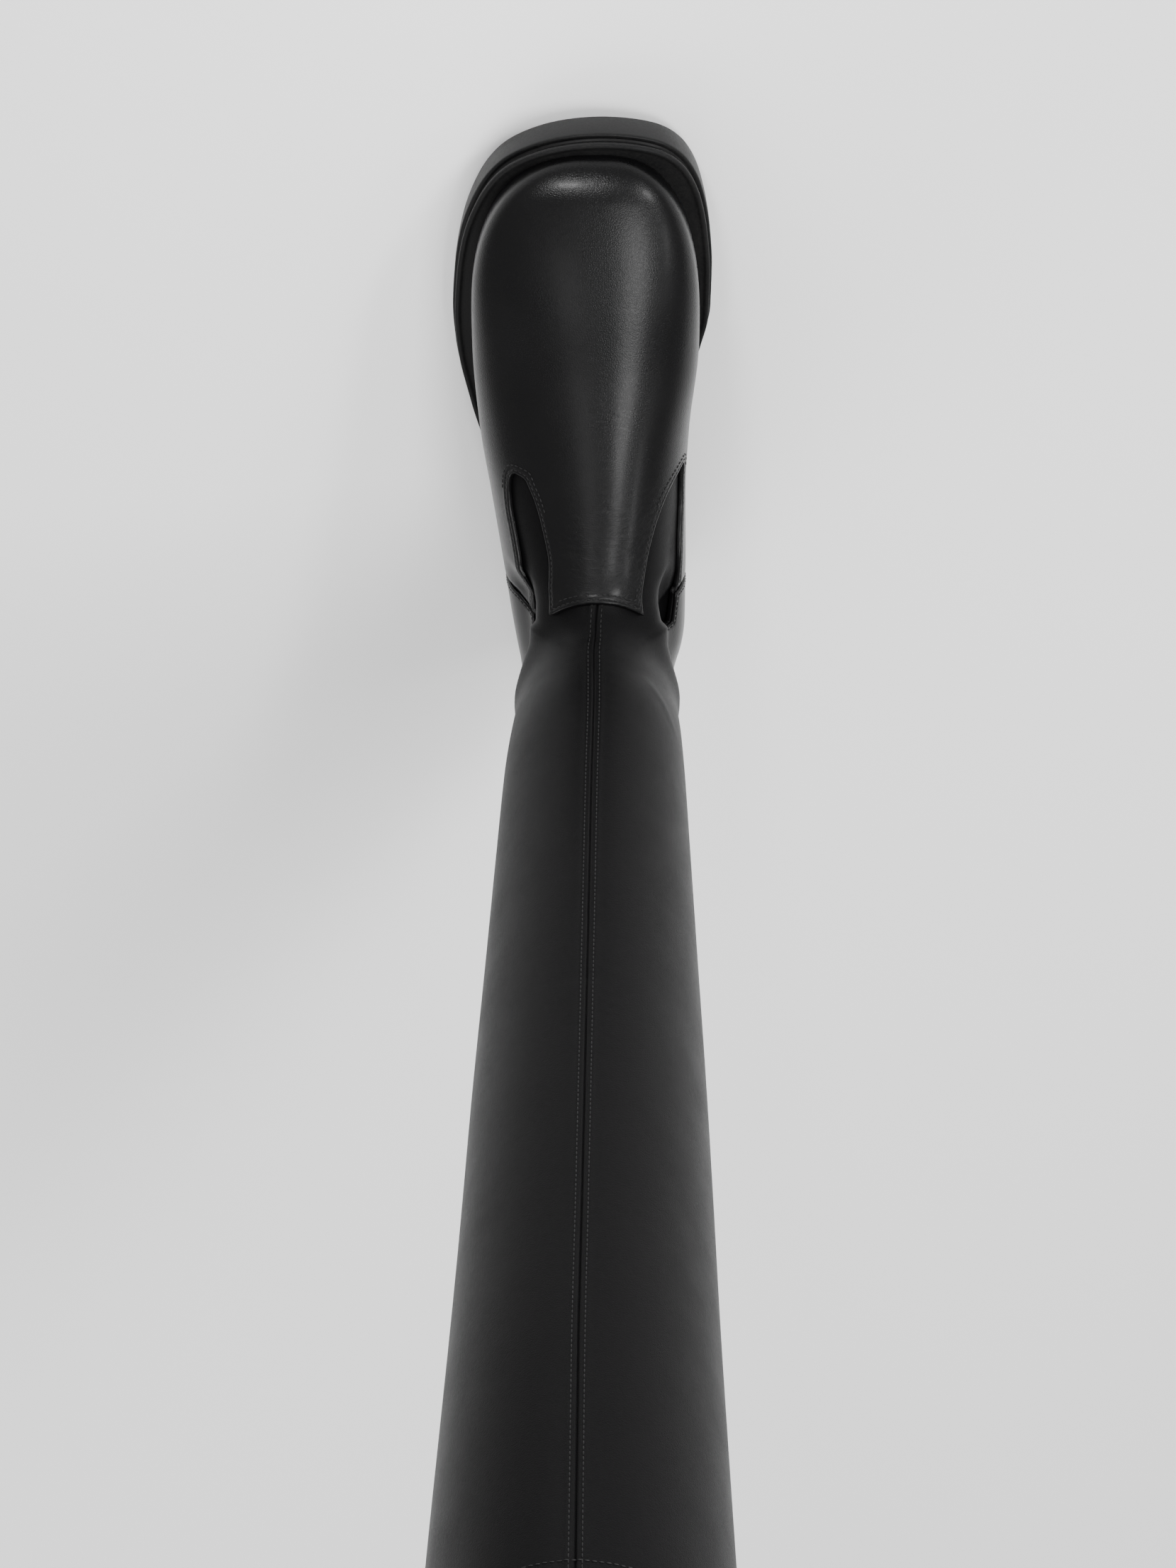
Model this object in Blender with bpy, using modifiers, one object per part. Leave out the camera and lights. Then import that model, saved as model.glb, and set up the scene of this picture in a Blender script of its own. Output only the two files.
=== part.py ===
"""Thigh high boot, a left one, standing empty: thick rubber sole, ankle-cut upper and a long leather shaft.

The toe points to -Y, the outer (lateral) side is +X and +Z is up. The origin is the middle of the heel's
ground face. Lengths are metres.
"""
import math

import bmesh
import bpy
import numpy as np

# Driving sizes
SOLE_LENGTH = 0.284
HEEL_BACK = 0.038
SOLE_HALF_WIDTH = 0.0643
LAST_LENGTH = 0.272
LAST_BACK = 0.033
BALL_HALF_WIDTH = 0.0555
FOREFOOT_HEIGHT = 0.024
HEEL_SEAT_HEIGHT = 0.042
TOE_SPRING = 0.010
INSTEP_HEIGHT = 0.128
BOOT_HEIGHT = 0.685
SHAFT_HALF_WIDTH = 0.067
SHAFT_DEPTH = 0.155
GAP = 0.0003

# Walls and layers
UPPER_WALL = 0.0020
SHAFT_WALL = 0.0017
COUNTER_WALL = 0.0011
WELT_THICKNESS = 0.0030
MIDSOLE_THICKNESS = 0.0034
INSOLE_THICKNESS = 0.0030
INSOLE_MARGIN = 0.0048
HEEL_BLOCK_HEIGHT = 0.0235

# Sole edge: insets of the layers from the outline, and the rounding of their corners
MIDSOLE_INSET = 0.0022
WELT_INSET = 0.0010
WELT_CORNER = 0.0006
WALL_DRAFT = 0.0012
EDGE_ROUND = 0.0012
HEEL_INSET = 0.0016
BREAST_SLOPE = 0.0040
HEEL_BREAST_SHARE = 0.272

# Toe: lengths over which the outline and the profile round off, with their superellipse powers
TOE_LENGTH_LATERAL = 0.076
TOE_LENGTH_MEDIAL = 0.081
TOE_BOX_LENGTH = 0.0150
TOE_POWER = 2.5
TOE_BOX_POWER = 2.6
HEEL_ROUND_LENGTH = 0.034
HEEL_ROUND_POWER = 2.3
RIDGE_FADE = 0.040
TOE_BOX_LAST_ROW = 3.2

# Loft: section rows over the round toe and round the ankle, how many between and above, steps a quarter
TOE_STATIONS = (0.0, 0.012, 0.04, 0.10, 0.20, 0.36, 0.60)
ANKLE_STATIONS = (7.5, 7.9, 8.2, 8.45, 8.7, 8.95, 9.2, 9.45, 9.7, 10.0, 10.4, 10.9, 11.5, 12.1)
FOOT_STATIONS = 13
SHAFT_STATIONS = 10
SIDE_STEPS = 10
SOLE_STATIONS = 29

# Upper and shaft details
COUNTER_START_ROW = 3.9
SOCK_START_ROW = 3.3
SOCK_LIFT = 0.009
TRIM_ALLOWANCE = 0.0025
UPPER_TOP_ROW = 10.5
FOLD_HEIGHT = 0.1000
FOLD_REACH = 0.0105
FOLD_DEPTH = 0.0055
FOLD_FRONT = -0.060
FOLD_FADE = 0.008
ROLL_HEIGHT = 0.116
ROLL_REACH = 0.010
ROLL_RISE = 0.0023
SEAT_RAMP = 0.0035
SEAT_TOP_FADE = 0.010
NECK_CLEARANCE = 0.0020
EMERGE_TURN = -0.052
EMERGE_SIDE_LOW = 0.1045
EMERGE_SIDE_HIGH = 0.1140
EMERGE_FRONT_LOW = 0.1290
EMERGE_FRONT_HIGH = 0.1520
CUT_CEILING = 0.220
CUT_FLOOR = 0.010
CUT_CLEAR_OF_MIDDLE = 0.006

# Tread: shallow grooves under the forefoot and the heel
GROOVE_WIDTH = 0.0030
GROOVE_DEPTH = 0.0022
GROOVE_MARGIN = 0.011
FOREFOOT_GROOVES = (0.60, 0.645, 0.735, 0.78)
HEEL_GROOVES = (0.06, 0.20)

# Sole outline: share of the length from the heel's back, then half widths as shares of SOLE_HALF_WIDTH
SOLE_OUTLINE = (
    # share, lateral, medial
    (0.00, 0.00, 0.00),
    (0.03, 0.35, 0.34),
    (0.10, 0.55, 0.53),
    (0.20, 0.61, 0.56),
    (0.30, 0.68, 0.57),
    (0.40, 0.765, 0.575),
    (0.50, 0.893, 0.590),
    (0.60, 0.983, 0.717),
    (0.66, 1.00, 0.772),
    (0.74, 0.980, 0.778),
    (0.80, 0.942, 0.762),
    (0.88, 0.830, 0.709),
    (0.94, 0.668, 0.612),
    (0.98, 0.410, 0.444),
    (1.00, -0.026, 0.026),
)

# Heights along the sole: share of the length, top at the feather line as a share of the drop from the
# heel seat to the forefoot, and underside of the outsole as a share of HEEL_BLOCK_HEIGHT
SOLE_PROFILE = (
    # share, drop left, underside
    (0.00, 1.00, 1.00),
    (0.10, 1.00, 1.00),
    (0.22, 0.90, 1.00),
    (0.29, 0.77, 1.00),
    (0.36, 0.56, 0.82),
    (0.43, 0.36, 0.42),
    (0.50, 0.18, 0.10),
    (0.55, 0.08, 0.00),
    (0.66, 0.00, 0.00),
    (1.00, 0.00, 0.00),
)
TOE_SPRING_START = 0.76

# Feather line, where the upper meets the welt: share of LAST_LENGTH from the back and half widths as
# shares of BALL_HALF_WIDTH, before the round ends are taken off
FEATHER_OUTLINE = (
    # share, lateral, medial
    (0.00, 0.65, 0.63),
    (0.12, 0.63, 0.61),
    (0.25, 0.71, 0.57),
    (0.38, 0.81, 0.57),
    (0.53, 0.90, 0.67),
    (0.72, 0.96, 0.757),
    (1.00, 0.96, 0.757),
)

# Foot sections, toe to ankle: where the section plane leaves the feather line and where it meets the top,
# as shares of LAST_LENGTH from the back, height of the top as a share of INSTEP_HEIGHT, half widths as
# shares of BALL_HALF_WIDTH, height of the widest point, power of the rounding above it, ridge to one side
FOOT_SECTIONS = (
    # foot, top, height, lateral, medial, girth, round, ridge
    (1.000, 1.000, 0.342, 1.000, 0.798, 0.44, 2.40, -0.05),
    (0.908, 0.908, 0.437, 1.000, 0.798, 0.44, 2.35, -0.05),
    (0.801, 0.805, 0.526, 1.000, 0.798, 0.42, 2.25, -0.07),
    (0.673, 0.680, 0.622, 0.995, 0.796, 0.38, 2.12, -0.08),
    (0.533, 0.555, 0.753, 0.946, 0.728, 0.35, 2.06, -0.07),
    (0.408, 0.463, 0.868, 0.856, 0.700, 0.35, 2.02, -0.04),
    (0.268, 0.393, 0.968, 0.766, 0.706, 0.36, 1.98, 0.00),
    (0.103, 0.366, 1.047, 0.688, 0.704, 0.38, 1.93, 0.02),
)

# Ankle sections, heel to lower shin: height and place of the back and of the front, as shares of
# INSTEP_HEIGHT and of SHAFT_DEPTH from the collar's front, half widths as shares of SHAFT_HALF_WIDTH,
# place of the widest point, power of the rounding in front of it, ridge as a share of SHAFT_HALF_WIDTH
ANKLE_SECTIONS = (
    # back height, back, front height, front, lateral, medial, girth, round, ridge
    (0.327, 0.722, 1.108, 0.097, 0.525, 0.540, 0.41, 1.90, 0.02),
    (0.514, 0.748, 1.167, 0.106, 0.515, 0.508, 0.46, 1.85, 0.03),
    (0.765, 0.735, 1.226, 0.113, 0.536, 0.520, 0.50, 1.80, 0.03),
    (1.017, 0.716, 1.295, 0.116, 0.568, 0.542, 0.50, 1.90, 0.03),
    (1.311, 0.729, 1.407, 0.116, 0.606, 0.561, 0.50, 2.00, 0.03),
)

# Level shaft sections, shin to collar: height as a share of BOOT_HEIGHT, back and front as shares of
# SHAFT_DEPTH from the collar's front, half widths and ridge as shares of SHAFT_HALF_WIDTH
SHAFT_SECTIONS = (
    # height, back, front, lateral, medial, ridge
    (0.336, 0.787, 0.116, 0.657, 0.590, 0.045),
    (0.438, 0.865, 0.110, 0.716, 0.625, 0.060),
    (0.540, 0.897, 0.100, 0.773, 0.657, 0.075),
    (0.642, 0.877, 0.081, 0.815, 0.678, 0.090),
    (0.737, 0.877, 0.058, 0.860, 0.696, 0.105),
    (0.825, 0.910, 0.035, 0.910, 0.721, 0.120),
    (0.912, 0.961, 0.016, 0.961, 0.749, 0.127),
    (1.000, 1.000, 0.000, 1.000, 0.776, 0.134),
)
SHAFT_GIRTH = 0.50
SHAFT_POWER = 2.00
COLLAR_FRONT = -0.0785
CROWN_SHARPNESS = 0.25
SIDE_POWER_FOOT = 2.0
SIDE_POWER_ANKLE = 2.4
SIDE_POWER_ROW = 8.3
SIDE_POWER_ROWS = 1.8
FOOT_SIDE_FADE_ROWS = (6.0, 8.0)

# Ankle cut-outs, seen from the side: share of LAST_LENGTH from the back, then the heights of the
# lower (rear) and the upper (front) edge as shares of INSTEP_HEIGHT
LATERAL_CUTOUT = (
    # share, lower edge, upper edge
    (0.523, 0.672, 0.690),
    (0.513, 0.660, 0.716),
    (0.496, 0.664, 0.746),
    (0.459, 0.686, 0.802),
    (0.416, 0.732, 0.863),
    (0.375, 0.772, 0.912),
    (0.347, 0.784, 0.958),
    (0.287, 0.780, 1.040),
)
MEDIAL_CUTOUT = (
    # share, lower edge, upper edge
    (0.503, 0.550, 0.568),
    (0.497, 0.543, 0.652),
    (0.469, 0.556, 0.747),
    (0.430, 0.582, 0.826),
    (0.393, 0.630, 0.886),
    (0.355, 0.668, 0.954),
    (0.319, 0.684, 1.000),
    (0.240, 0.722, 1.020),
)

# Top line of the upper, seen from the side: (share of LAST_LENGTH, share of INSTEP_HEIGHT)
TOP_LINE = ((0.489, 1.087), (0.346, 0.972), (0.290, 0.782), (0.158, 0.788), (-0.06, 0.796))
# Front edge of the heel counter, from its top down, in the same shares
COUNTER_EDGE = ((0.265, 1.000), (0.277, 0.762), (0.292, 0.690), (0.286, 0.600), (0.255, 0.130))

# Looks
LEATHER = ((0.020, 0.020, 0.021, 1.0), 0.34)
RUBBER = ((0.018, 0.018, 0.019, 1.0), 0.55)
BOARD = ((0.30, 0.25, 0.20, 1.0), 0.80)


def smooth(x, columns, column):
    """Monotone cubic through a table's first column and the given one."""
    xs = np.array([row[0] for row in columns], float)
    ys = np.array([row[column] for row in columns], float)
    steps = np.diff(xs)
    slopes = np.diff(ys) / steps
    tangents = np.concatenate([[slopes[0]], np.zeros(len(xs) - 2), [slopes[-1]]])
    for i in range(1, len(xs) - 1):
        if slopes[i - 1] * slopes[i] > 0:
            left, right = 2 * steps[i] + steps[i - 1], steps[i] + 2 * steps[i - 1]
            tangents[i] = (left + right) / (left / slopes[i - 1] + right / slopes[i])
    x = np.clip(x, xs[0], xs[-1])
    i = np.clip(np.searchsorted(xs, x, side="right") - 1, 0, len(xs) - 2)
    t = (x - xs[i]) / steps[i]
    start = (2 * t**3 - 3 * t**2 + 1) * ys[i] + (t**3 - 2 * t**2 + t) * steps[i] * tangents[i]
    end = (3 * t**2 - 2 * t**3) * ys[i + 1] + (t**3 - t**2) * steps[i] * tangents[i + 1]
    return start + end


def ease(x, low, high):
    """0 below low, 1 above high, smooth between."""
    t = np.clip((x - low) / (high - low), 0, 1)
    return t * t * (3 - 2 * t)


def round_end(distance, length, power):
    """Superellipse that grows from 0 at the end to 1 at length from it."""
    left = np.clip(1 - distance / length, 0, 1)
    return (1 - left**power) ** (1 / power)


def last_y(share):
    return LAST_BACK - share * LAST_LENGTH


# Sole heights and outlines

def sole_share(y):
    return np.clip((HEEL_BACK - np.asarray(y, float)) / SOLE_LENGTH, 0, 1)


def toe_spring(share):
    lift = np.clip((share - TOE_SPRING_START) / (1 - TOE_SPRING_START), 0, 1)
    return TOE_SPRING * lift**2


def feather_height(y):
    share = sole_share(y)
    drop = smooth(share, SOLE_PROFILE, 1) * (HEEL_SEAT_HEIGHT - FOREFOOT_HEIGHT)
    return FOREFOOT_HEIGHT + drop + toe_spring(share)


def underside_height(y):
    share = sole_share(y)
    return (HEEL_BLOCK_HEIGHT + GAP) * smooth(share, SOLE_PROFILE, 2) + toe_spring(share)


def outline_side(shares, column):
    """Half width of the sole, smooth round both ends because it is read over the turning angle."""
    angle = [(math.acos(1 - 2 * row[0]), row[column]) for row in SOLE_OUTLINE]
    return SOLE_HALF_WIDTH * smooth(np.arccos(1 - 2 * np.asarray(shares)), angle, 1)


def inset_loop(y, lateral, medial, inset):
    """One closed outline, out along the lateral side and back along the medial one, drawn in by inset."""
    loop = np.concatenate([np.stack([lateral, y], 1), np.stack([-medial, y], 1)[::-1]])
    ahead, behind = np.roll(loop, -1, 0), np.roll(loop, 1, 0)
    for side, step in ((ahead, -2), (behind, 2)):
        twin = np.linalg.norm(side - loop, axis=1) < 1e-6
        side[twin] = np.roll(loop, step, 0)[twin]
    along = (ahead - behind) / np.linalg.norm(ahead - behind, axis=1, keepdims=True)
    return loop + np.stack([along[:, 1], -along[:, 0]], 1) * inset


def sole_ring(shares, inset, height):
    """The sole's outline drawn in by inset, at the height that its height function gives at each point."""
    y = HEEL_BACK - shares * SOLE_LENGTH
    loop = inset_loop(y, outline_side(shares, 1), outline_side(shares, 2), inset)
    return np.column_stack([loop, height(loop[:, 1])])


def feather_half_width(y, column):
    """Half width of the upper where it meets the welt."""
    y = np.asarray(y, float)
    from_tip = y - last_y(1.0)
    length = TOE_LENGTH_LATERAL if column == 1 else TOE_LENGTH_MEDIAL
    ends = round_end(from_tip, length, TOE_POWER)
    ends = ends * round_end(LAST_BACK - y, HEEL_ROUND_LENGTH, HEEL_ROUND_POWER)
    return BALL_HALF_WIDTH * smooth((LAST_BACK - y) / LAST_LENGTH, FEATHER_OUTLINE, column) * ends


# Form of the boot, section by section

def section_rows():
    """All three tables in metres, one row after the other, in the order of COLUMN."""
    rows = []
    for foot, top, height, lateral, medial, girth, power, ridge in FOOT_SECTIONS:
        rows.append((len(rows), last_y(foot), float(feather_height(last_y(foot))), last_y(top),
                     height * INSTEP_HEIGHT, lateral * BALL_HALF_WIDTH, medial * BALL_HALF_WIDTH,
                     girth, power, ridge * BALL_HALF_WIDTH))
    for back_z, back, front_z, front, lateral, medial, girth, power, ridge in ANKLE_SECTIONS:
        rows.append((len(rows), COLLAR_FRONT + back * SHAFT_DEPTH, back_z * INSTEP_HEIGHT,
                     COLLAR_FRONT + front * SHAFT_DEPTH, front_z * INSTEP_HEIGHT,
                     lateral * SHAFT_HALF_WIDTH, medial * SHAFT_HALF_WIDTH,
                     girth, power, ridge * SHAFT_HALF_WIDTH))
    for level, back, front, lateral, medial, ridge in SHAFT_SECTIONS:
        rows.append((len(rows), COLLAR_FRONT + back * SHAFT_DEPTH, level * BOOT_HEIGHT,
                     COLLAR_FRONT + front * SHAFT_DEPTH, level * BOOT_HEIGHT,
                     lateral * SHAFT_HALF_WIDTH, medial * SHAFT_HALF_WIDTH,
                     SHAFT_GIRTH, SHAFT_POWER, ridge * SHAFT_HALF_WIDTH))
    return rows


PRISM_HALF_WIDTH = 1.5 * BALL_HALF_WIDTH
ROWS = section_rows()
ANKLE_ROW = len(FOOT_SECTIONS)
LAST_ROW = len(ROWS) - 1
COLUMN = {name: i for i, name in enumerate(
    ("row", "back_y", "back_z", "front_y", "front_z", "lateral", "medial", "girth", "power", "ridge"))}


def row_value(row, name):
    return float(smooth(row, ROWS, COLUMN[name]))


def crown_powers(power):
    """Powers of the two axes for a superellipse's quarter whose top is rounded off instead of ridged."""
    across = 1 + CROWN_SHARPNESS * (2 / power - 1)
    middle = 2 ** (-1 / (power * across))
    return across, -math.log(2) / (power * math.log(math.sqrt(1 - middle**2)))


def section(row, steps):
    """Points from the lateral feather line over the front ridge to the medial one."""
    back = np.array([row_value(row, "back_y"), row_value(row, "back_z")])
    front = np.array([row_value(row, "front_y"), row_value(row, "front_z")])
    in_foot = row < ANKLE_ROW
    if in_foot:
        back[1] = feather_height(back[0])
    from_tip = max(back[0] - last_y(1.0), 0.0)
    rise = front - back
    if row < TOE_BOX_LAST_ROW:
        rise = rise * round_end(from_tip, TOE_BOX_LENGTH, TOE_BOX_POWER)
    height = np.linalg.norm(rise)
    along = rise / max(height, 1e-9)
    ankle = math.exp(-((row - SIDE_POWER_ROW) / SIDE_POWER_ROWS) ** 2)
    low_power = SIDE_POWER_FOOT + (SIDE_POWER_ANKLE - SIDE_POWER_FOOT) * ankle
    turn = np.linspace(0, math.pi / 2, steps + 1)
    sides = []
    for sign, name, length in ((1, "lateral", TOE_LENGTH_LATERAL), (-1, "medial", TOE_LENGTH_MEDIAL)):
        width = row_value(row, name)
        foot = 0.0
        if in_foot:
            width *= float(round_end(from_tip, length, TOE_POWER))
            foot = min(float(feather_half_width(back[0], 1 if sign > 0 else 2)), width)
        girth = row_value(row, "girth")
        power = row_value(row, "power")
        ridge = row_value(row, "ridge") * sign * min(1.0, from_tip / RIDGE_FADE)
        low = 1 - np.cos(turn) ** (2 / low_power)
        blend = 1 - ease(row, *FOOT_SIDE_FADE_ROWS)
        bulge = blend * np.sin(low * math.pi / 2) + (1 - blend) * np.sin(turn) ** (2 / low_power)
        crown, crown_rise = crown_powers(power)
        x = np.concatenate([foot + (width - foot) * bulge,
                            ridge + (width - ridge) * np.cos(turn[1:]) ** crown])
        h = np.concatenate([girth * height * low,
                            height * (girth + (1 - girth) * np.sin(turn[1:]) ** crown_rise)])
        sides.append(np.column_stack([sign * x, back[0] + along[0] * h, back[1] + along[1] * h]))
    return np.concatenate([sides[0], sides[1][::-1][1:]])


def station_rows(first, last):
    """The section rows that every layer is lofted through, so that one layer nests in the next."""
    rows = list(TOE_STATIONS)
    rows += list(np.linspace(TOE_STATIONS[-1], ANKLE_STATIONS[0], FOOT_STATIONS + 2)[1:-1])
    rows += ANKLE_STATIONS
    rows += list(np.linspace(ANKLE_STATIONS[-1], LAST_ROW, SHAFT_STATIONS + 1)[1:])
    return [row for row in rows if first <= row <= last]


def lofted(rows):
    """Open surface through the sections, carried on a little below the feather line for the trim."""
    mesh = bmesh.new()
    grid = [[mesh.verts.new(point) for point in section(row, SIDE_STEPS)] for row in rows]
    for low, high in zip(grid, grid[1:]):
        for i in range(len(low) - 1):
            mesh.faces.new((low[i], low[i + 1], high[i + 1], high[i]))
    bmesh.ops.remove_doubles(mesh, verts=mesh.verts, dist=2e-5)
    for vert in mesh.verts:
        if vert.co.z < feather_height(vert.co.y) + 1e-5:
            vert.co.z -= TRIM_ALLOWANCE
    bmesh.ops.recalc_face_normals(mesh, faces=mesh.faces)
    widest = max(mesh.faces, key=lambda face: face.calc_center_median().x)
    if widest.normal.x < 0:
        bmesh.ops.reverse_faces(mesh, faces=mesh.faces)
    bmesh.ops.triangulate(mesh, faces=mesh.faces, quad_method="FIXED")
    mesh.normal_update()
    shift_along_normals(mesh, form_shift)
    mesh.normal_update()
    return mesh


def shift_along_normals(mesh, amount):
    """Move each point so that its faces go out by amount(point), which may be negative."""
    moved = [(v, v.co + v.normal * amount(v.co) * v.calc_shell_factor()) for v in mesh.verts]
    for vert, place in moved:
        vert.co = place


def ankle_fold(point):
    """The ankle's soft fold: a neck at the upper's top line and a roll of the shaft's leather above it."""
    behind = 1 - float(ease(-point.y, -FOLD_FRONT - FOLD_FADE, -FOLD_FRONT + FOLD_FADE))
    neck = FOLD_DEPTH * math.exp(-((point.z - FOLD_HEIGHT) / FOLD_REACH) ** 2)
    return behind * (ROLL_RISE * math.exp(-((point.z - ROLL_HEIGHT) / ROLL_REACH) ** 2) - neck)


def counter_seat(point):
    """The heel is drawn in under the counter, so that the counter's face runs on from the quarter's."""
    table = sorted((height, share) for share, height in COUNTER_EDGE)
    behind = point.y - last_y(float(smooth(point.z / INSTEP_HEIGHT, table, 1)))
    below = 1 - float(ease(point.z, FOLD_HEIGHT, FOLD_HEIGHT + SEAT_TOP_FADE))
    return -(COUNTER_WALL + GAP) * float(ease(behind, -SEAT_RAMP - GAP, -GAP)) * below


def form_shift(point):
    """What the ankle's fold and the counter's seat add to the form, outward."""
    return ankle_fold(point) + counter_seat(point)


def shaft_offset(point):
    """How far the shaft's outer face lies from the form: under the upper, then out over its top line."""
    front = float(ease(-point.y, -EMERGE_TURN - FOLD_FADE, -EMERGE_TURN + FOLD_FADE))
    low = EMERGE_SIDE_LOW + front * (EMERGE_FRONT_LOW - EMERGE_SIDE_LOW)
    high = EMERGE_SIDE_HIGH + front * (EMERGE_FRONT_HIGH - EMERGE_SIDE_HIGH)
    neck = NECK_CLEARANCE * (1 - front) * math.exp(-((point.z - FOLD_HEIGHT) / FOLD_REACH) ** 2)
    return (UPPER_WALL + GAP + neck) * (float(ease(point.z, low, high)) - 1)


# Objects

def clear_scene():
    for item in list(bpy.data.objects):
        bpy.data.objects.remove(item, do_unlink=True)


def new_collection(name):
    collection = bpy.data.collections.new(name)
    bpy.context.scene.collection.children.link(collection)
    return collection


def principled(name, look):
    material = bpy.data.materials.new(name)
    material.use_nodes = True
    shader = material.node_tree.nodes["Principled BSDF"]
    shader.inputs["Base Color"].default_value = look[0]
    shader.inputs["Roughness"].default_value = look[1]
    shader.inputs["Metallic"].default_value = 0.0
    material.diffuse_color = look[0]
    return material


def place(name, mesh, collection, look=None):
    """Turn a bmesh into a named object."""
    data = bpy.data.meshes.new(name)
    mesh.to_mesh(data)
    mesh.free()
    item = bpy.data.objects.new(name, data)
    collection.objects.link(item)
    if look:
        data.materials.append(principled(name + "_look", look))
        data.shade_smooth()
        data.set_sharp_from_angle(angle=math.radians(35))
    return item


def cut(item, cutter):
    cutter.hide_render = True
    cutter.display_type = "WIRE"
    boolean = item.modifiers.new("cut " + cutter.name, "BOOLEAN")
    boolean.operation = "DIFFERENCE"
    boolean.solver = "EXACT"
    boolean.object = cutter


def thicken(item, wall, outward=False):
    shell = item.modifiers.new("wall", "SOLIDIFY")
    shell.thickness = wall
    shell.offset = 1.0 if outward else -1.0
    shell.use_even_offset = True
    shell.use_quality_normals = True


def layered_solid(rings):
    """Closed solid from rings of one outline, capped by strips from the lateral to the medial side."""
    mesh = bmesh.new()
    loops = [[mesh.verts.new(point) for point in ring] for ring in rings]
    count = len(loops[0])
    for low, high in zip(loops, loops[1:]):
        for i in range(count):
            j = (i + 1) % count
            mesh.faces.new((low[i], low[j], high[j], high[i]))
    half = count // 2
    for loop in (loops[0], loops[-1]):
        for i in range(half - 1):
            mesh.faces.new((loop[i], loop[i + 1], loop[count - 2 - i], loop[count - 1 - i]))
    bmesh.ops.remove_doubles(mesh, verts=mesh.verts, dist=2e-5)
    bmesh.ops.recalc_face_normals(mesh, faces=mesh.faces)
    return mesh


def outline_shares(first, last, count):
    """Shares of the length, closer together where the outline turns."""
    low, high = math.acos(1 - 2 * first), math.acos(1 - 2 * last)
    return (1 - np.cos(np.linspace(low, high, count))) / 2


def side_prism(name, outline, x_low, x_high, collection):
    """Cutter: an outline in (y, z) swept along X."""
    mesh = bmesh.new()
    near = [mesh.verts.new((x_low, y, z)) for y, z in outline]
    far = [mesh.verts.new((x_high, y, z)) for y, z in outline]
    mesh.faces.new(near)
    mesh.faces.new(far[::-1])
    for i in range(len(outline)):
        j = (i + 1) % len(outline)
        mesh.faces.new((near[i], far[i], far[j], near[j]))
    bmesh.ops.recalc_face_normals(mesh, faces=mesh.faces)
    return place(name, mesh, collection)


def side_point(share, height):
    return (last_y(share), height * INSTEP_HEIGHT)


def cutout_outline(table, samples):
    """Closed outline of an ankle cut-out, its two edges joined by a round end."""
    start, end = table[0][0], table[-1][0]
    turn = np.linspace(0, math.pi / 2, samples)
    shares = start + (end - start) * (1 - np.cos(turn))
    angle = [(math.acos(1 - (row[0] - start) / (end - start)), row[1], row[2]) for row in table]
    lower = [side_point(s, float(smooth(t, angle, 1))) for s, t in zip(shares, turn)]
    upper = [side_point(s, float(smooth(t, angle, 2))) for s, t in zip(shares, turn)]
    return lower + upper[::-1]


def top_line_outline():
    """Everything above the upper's top line."""
    line = [side_point(*point) for point in TOP_LINE]
    return line + [(line[-1][0], CUT_CEILING), (line[0][0], CUT_CEILING)]


def counter_front_outline():
    """Everything in front of the heel counter."""
    edge = [side_point(*point) for point in COUNTER_EDGE]
    ahead = last_y(0.8)
    return [(edge[0][0], CUT_CEILING)] + edge + [(ahead, edge[-1][1]), (ahead, CUT_CEILING)]


def build_outsole(parts, cutters):
    shares = outline_shares(0.0, 1.0, SOLE_STATIONS)
    below = WELT_THICKNESS + MIDSOLE_THICKNESS + 2 * GAP
    levels = (
        # inset, share of the way up, rise
        (WALL_DRAFT + EDGE_ROUND, 0.0, 0.0),
        (WALL_DRAFT, 0.0, EDGE_ROUND),
        (0.0, 0.5, 0.0),
        (0.0, 1.0, -EDGE_ROUND),
        (EDGE_ROUND, 1.0, 0.0),
    )
    rings = [sole_ring(shares, inset, lambda y, up=up, rise=rise: rise + (1 - up) * underside_height(y)
                       + up * (feather_height(y) - below)) for inset, up, rise in levels]
    outsole = place("outsole", layered_solid(rings), parts, RUBBER)
    for share in FOREFOOT_GROOVES:
        cut(outsole, groove(share, cutters))
    return outsole


def groove(share, cutters):
    """A shallow straight groove across the tread, closed at its ends."""
    lateral = float(outline_side(share, 1)) - GROOVE_MARGIN
    medial = float(outline_side(share, 2)) - GROOVE_MARGIN
    mesh = bmesh.new()
    bmesh.ops.create_cube(mesh, size=1.0)
    bmesh.ops.scale(mesh, vec=(lateral + medial, GROOVE_WIDTH, 2 * GROOVE_DEPTH), verts=mesh.verts)
    spot = ((lateral - medial) / 2, HEEL_BACK - share * SOLE_LENGTH, 0.0)
    bmesh.ops.translate(mesh, vec=spot, verts=mesh.verts)
    return place(f"groove_cut_{round(share * 1000)}", mesh, cutters)


def build_heel(parts, cutters):
    shares = outline_shares(0.006, HEEL_BREAST_SHARE, 15)
    levels = ((HEEL_INSET + EDGE_ROUND, 0.0), (HEEL_INSET, EDGE_ROUND), (WALL_DRAFT, HEEL_BLOCK_HEIGHT))
    rings = [sole_ring(shares, inset, lambda y, z=z: np.full(len(y), z)) for inset, z in levels]
    for ring in rings[:2]:
        ring[:, 1] += BREAST_SLOPE * (sole_share(ring[:, 1]) / HEEL_BREAST_SHARE) ** 3
    heel = place("heel", layered_solid(rings), parts, RUBBER)
    for share in HEEL_GROOVES:
        cut(heel, groove(share, cutters))
    return heel


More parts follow.
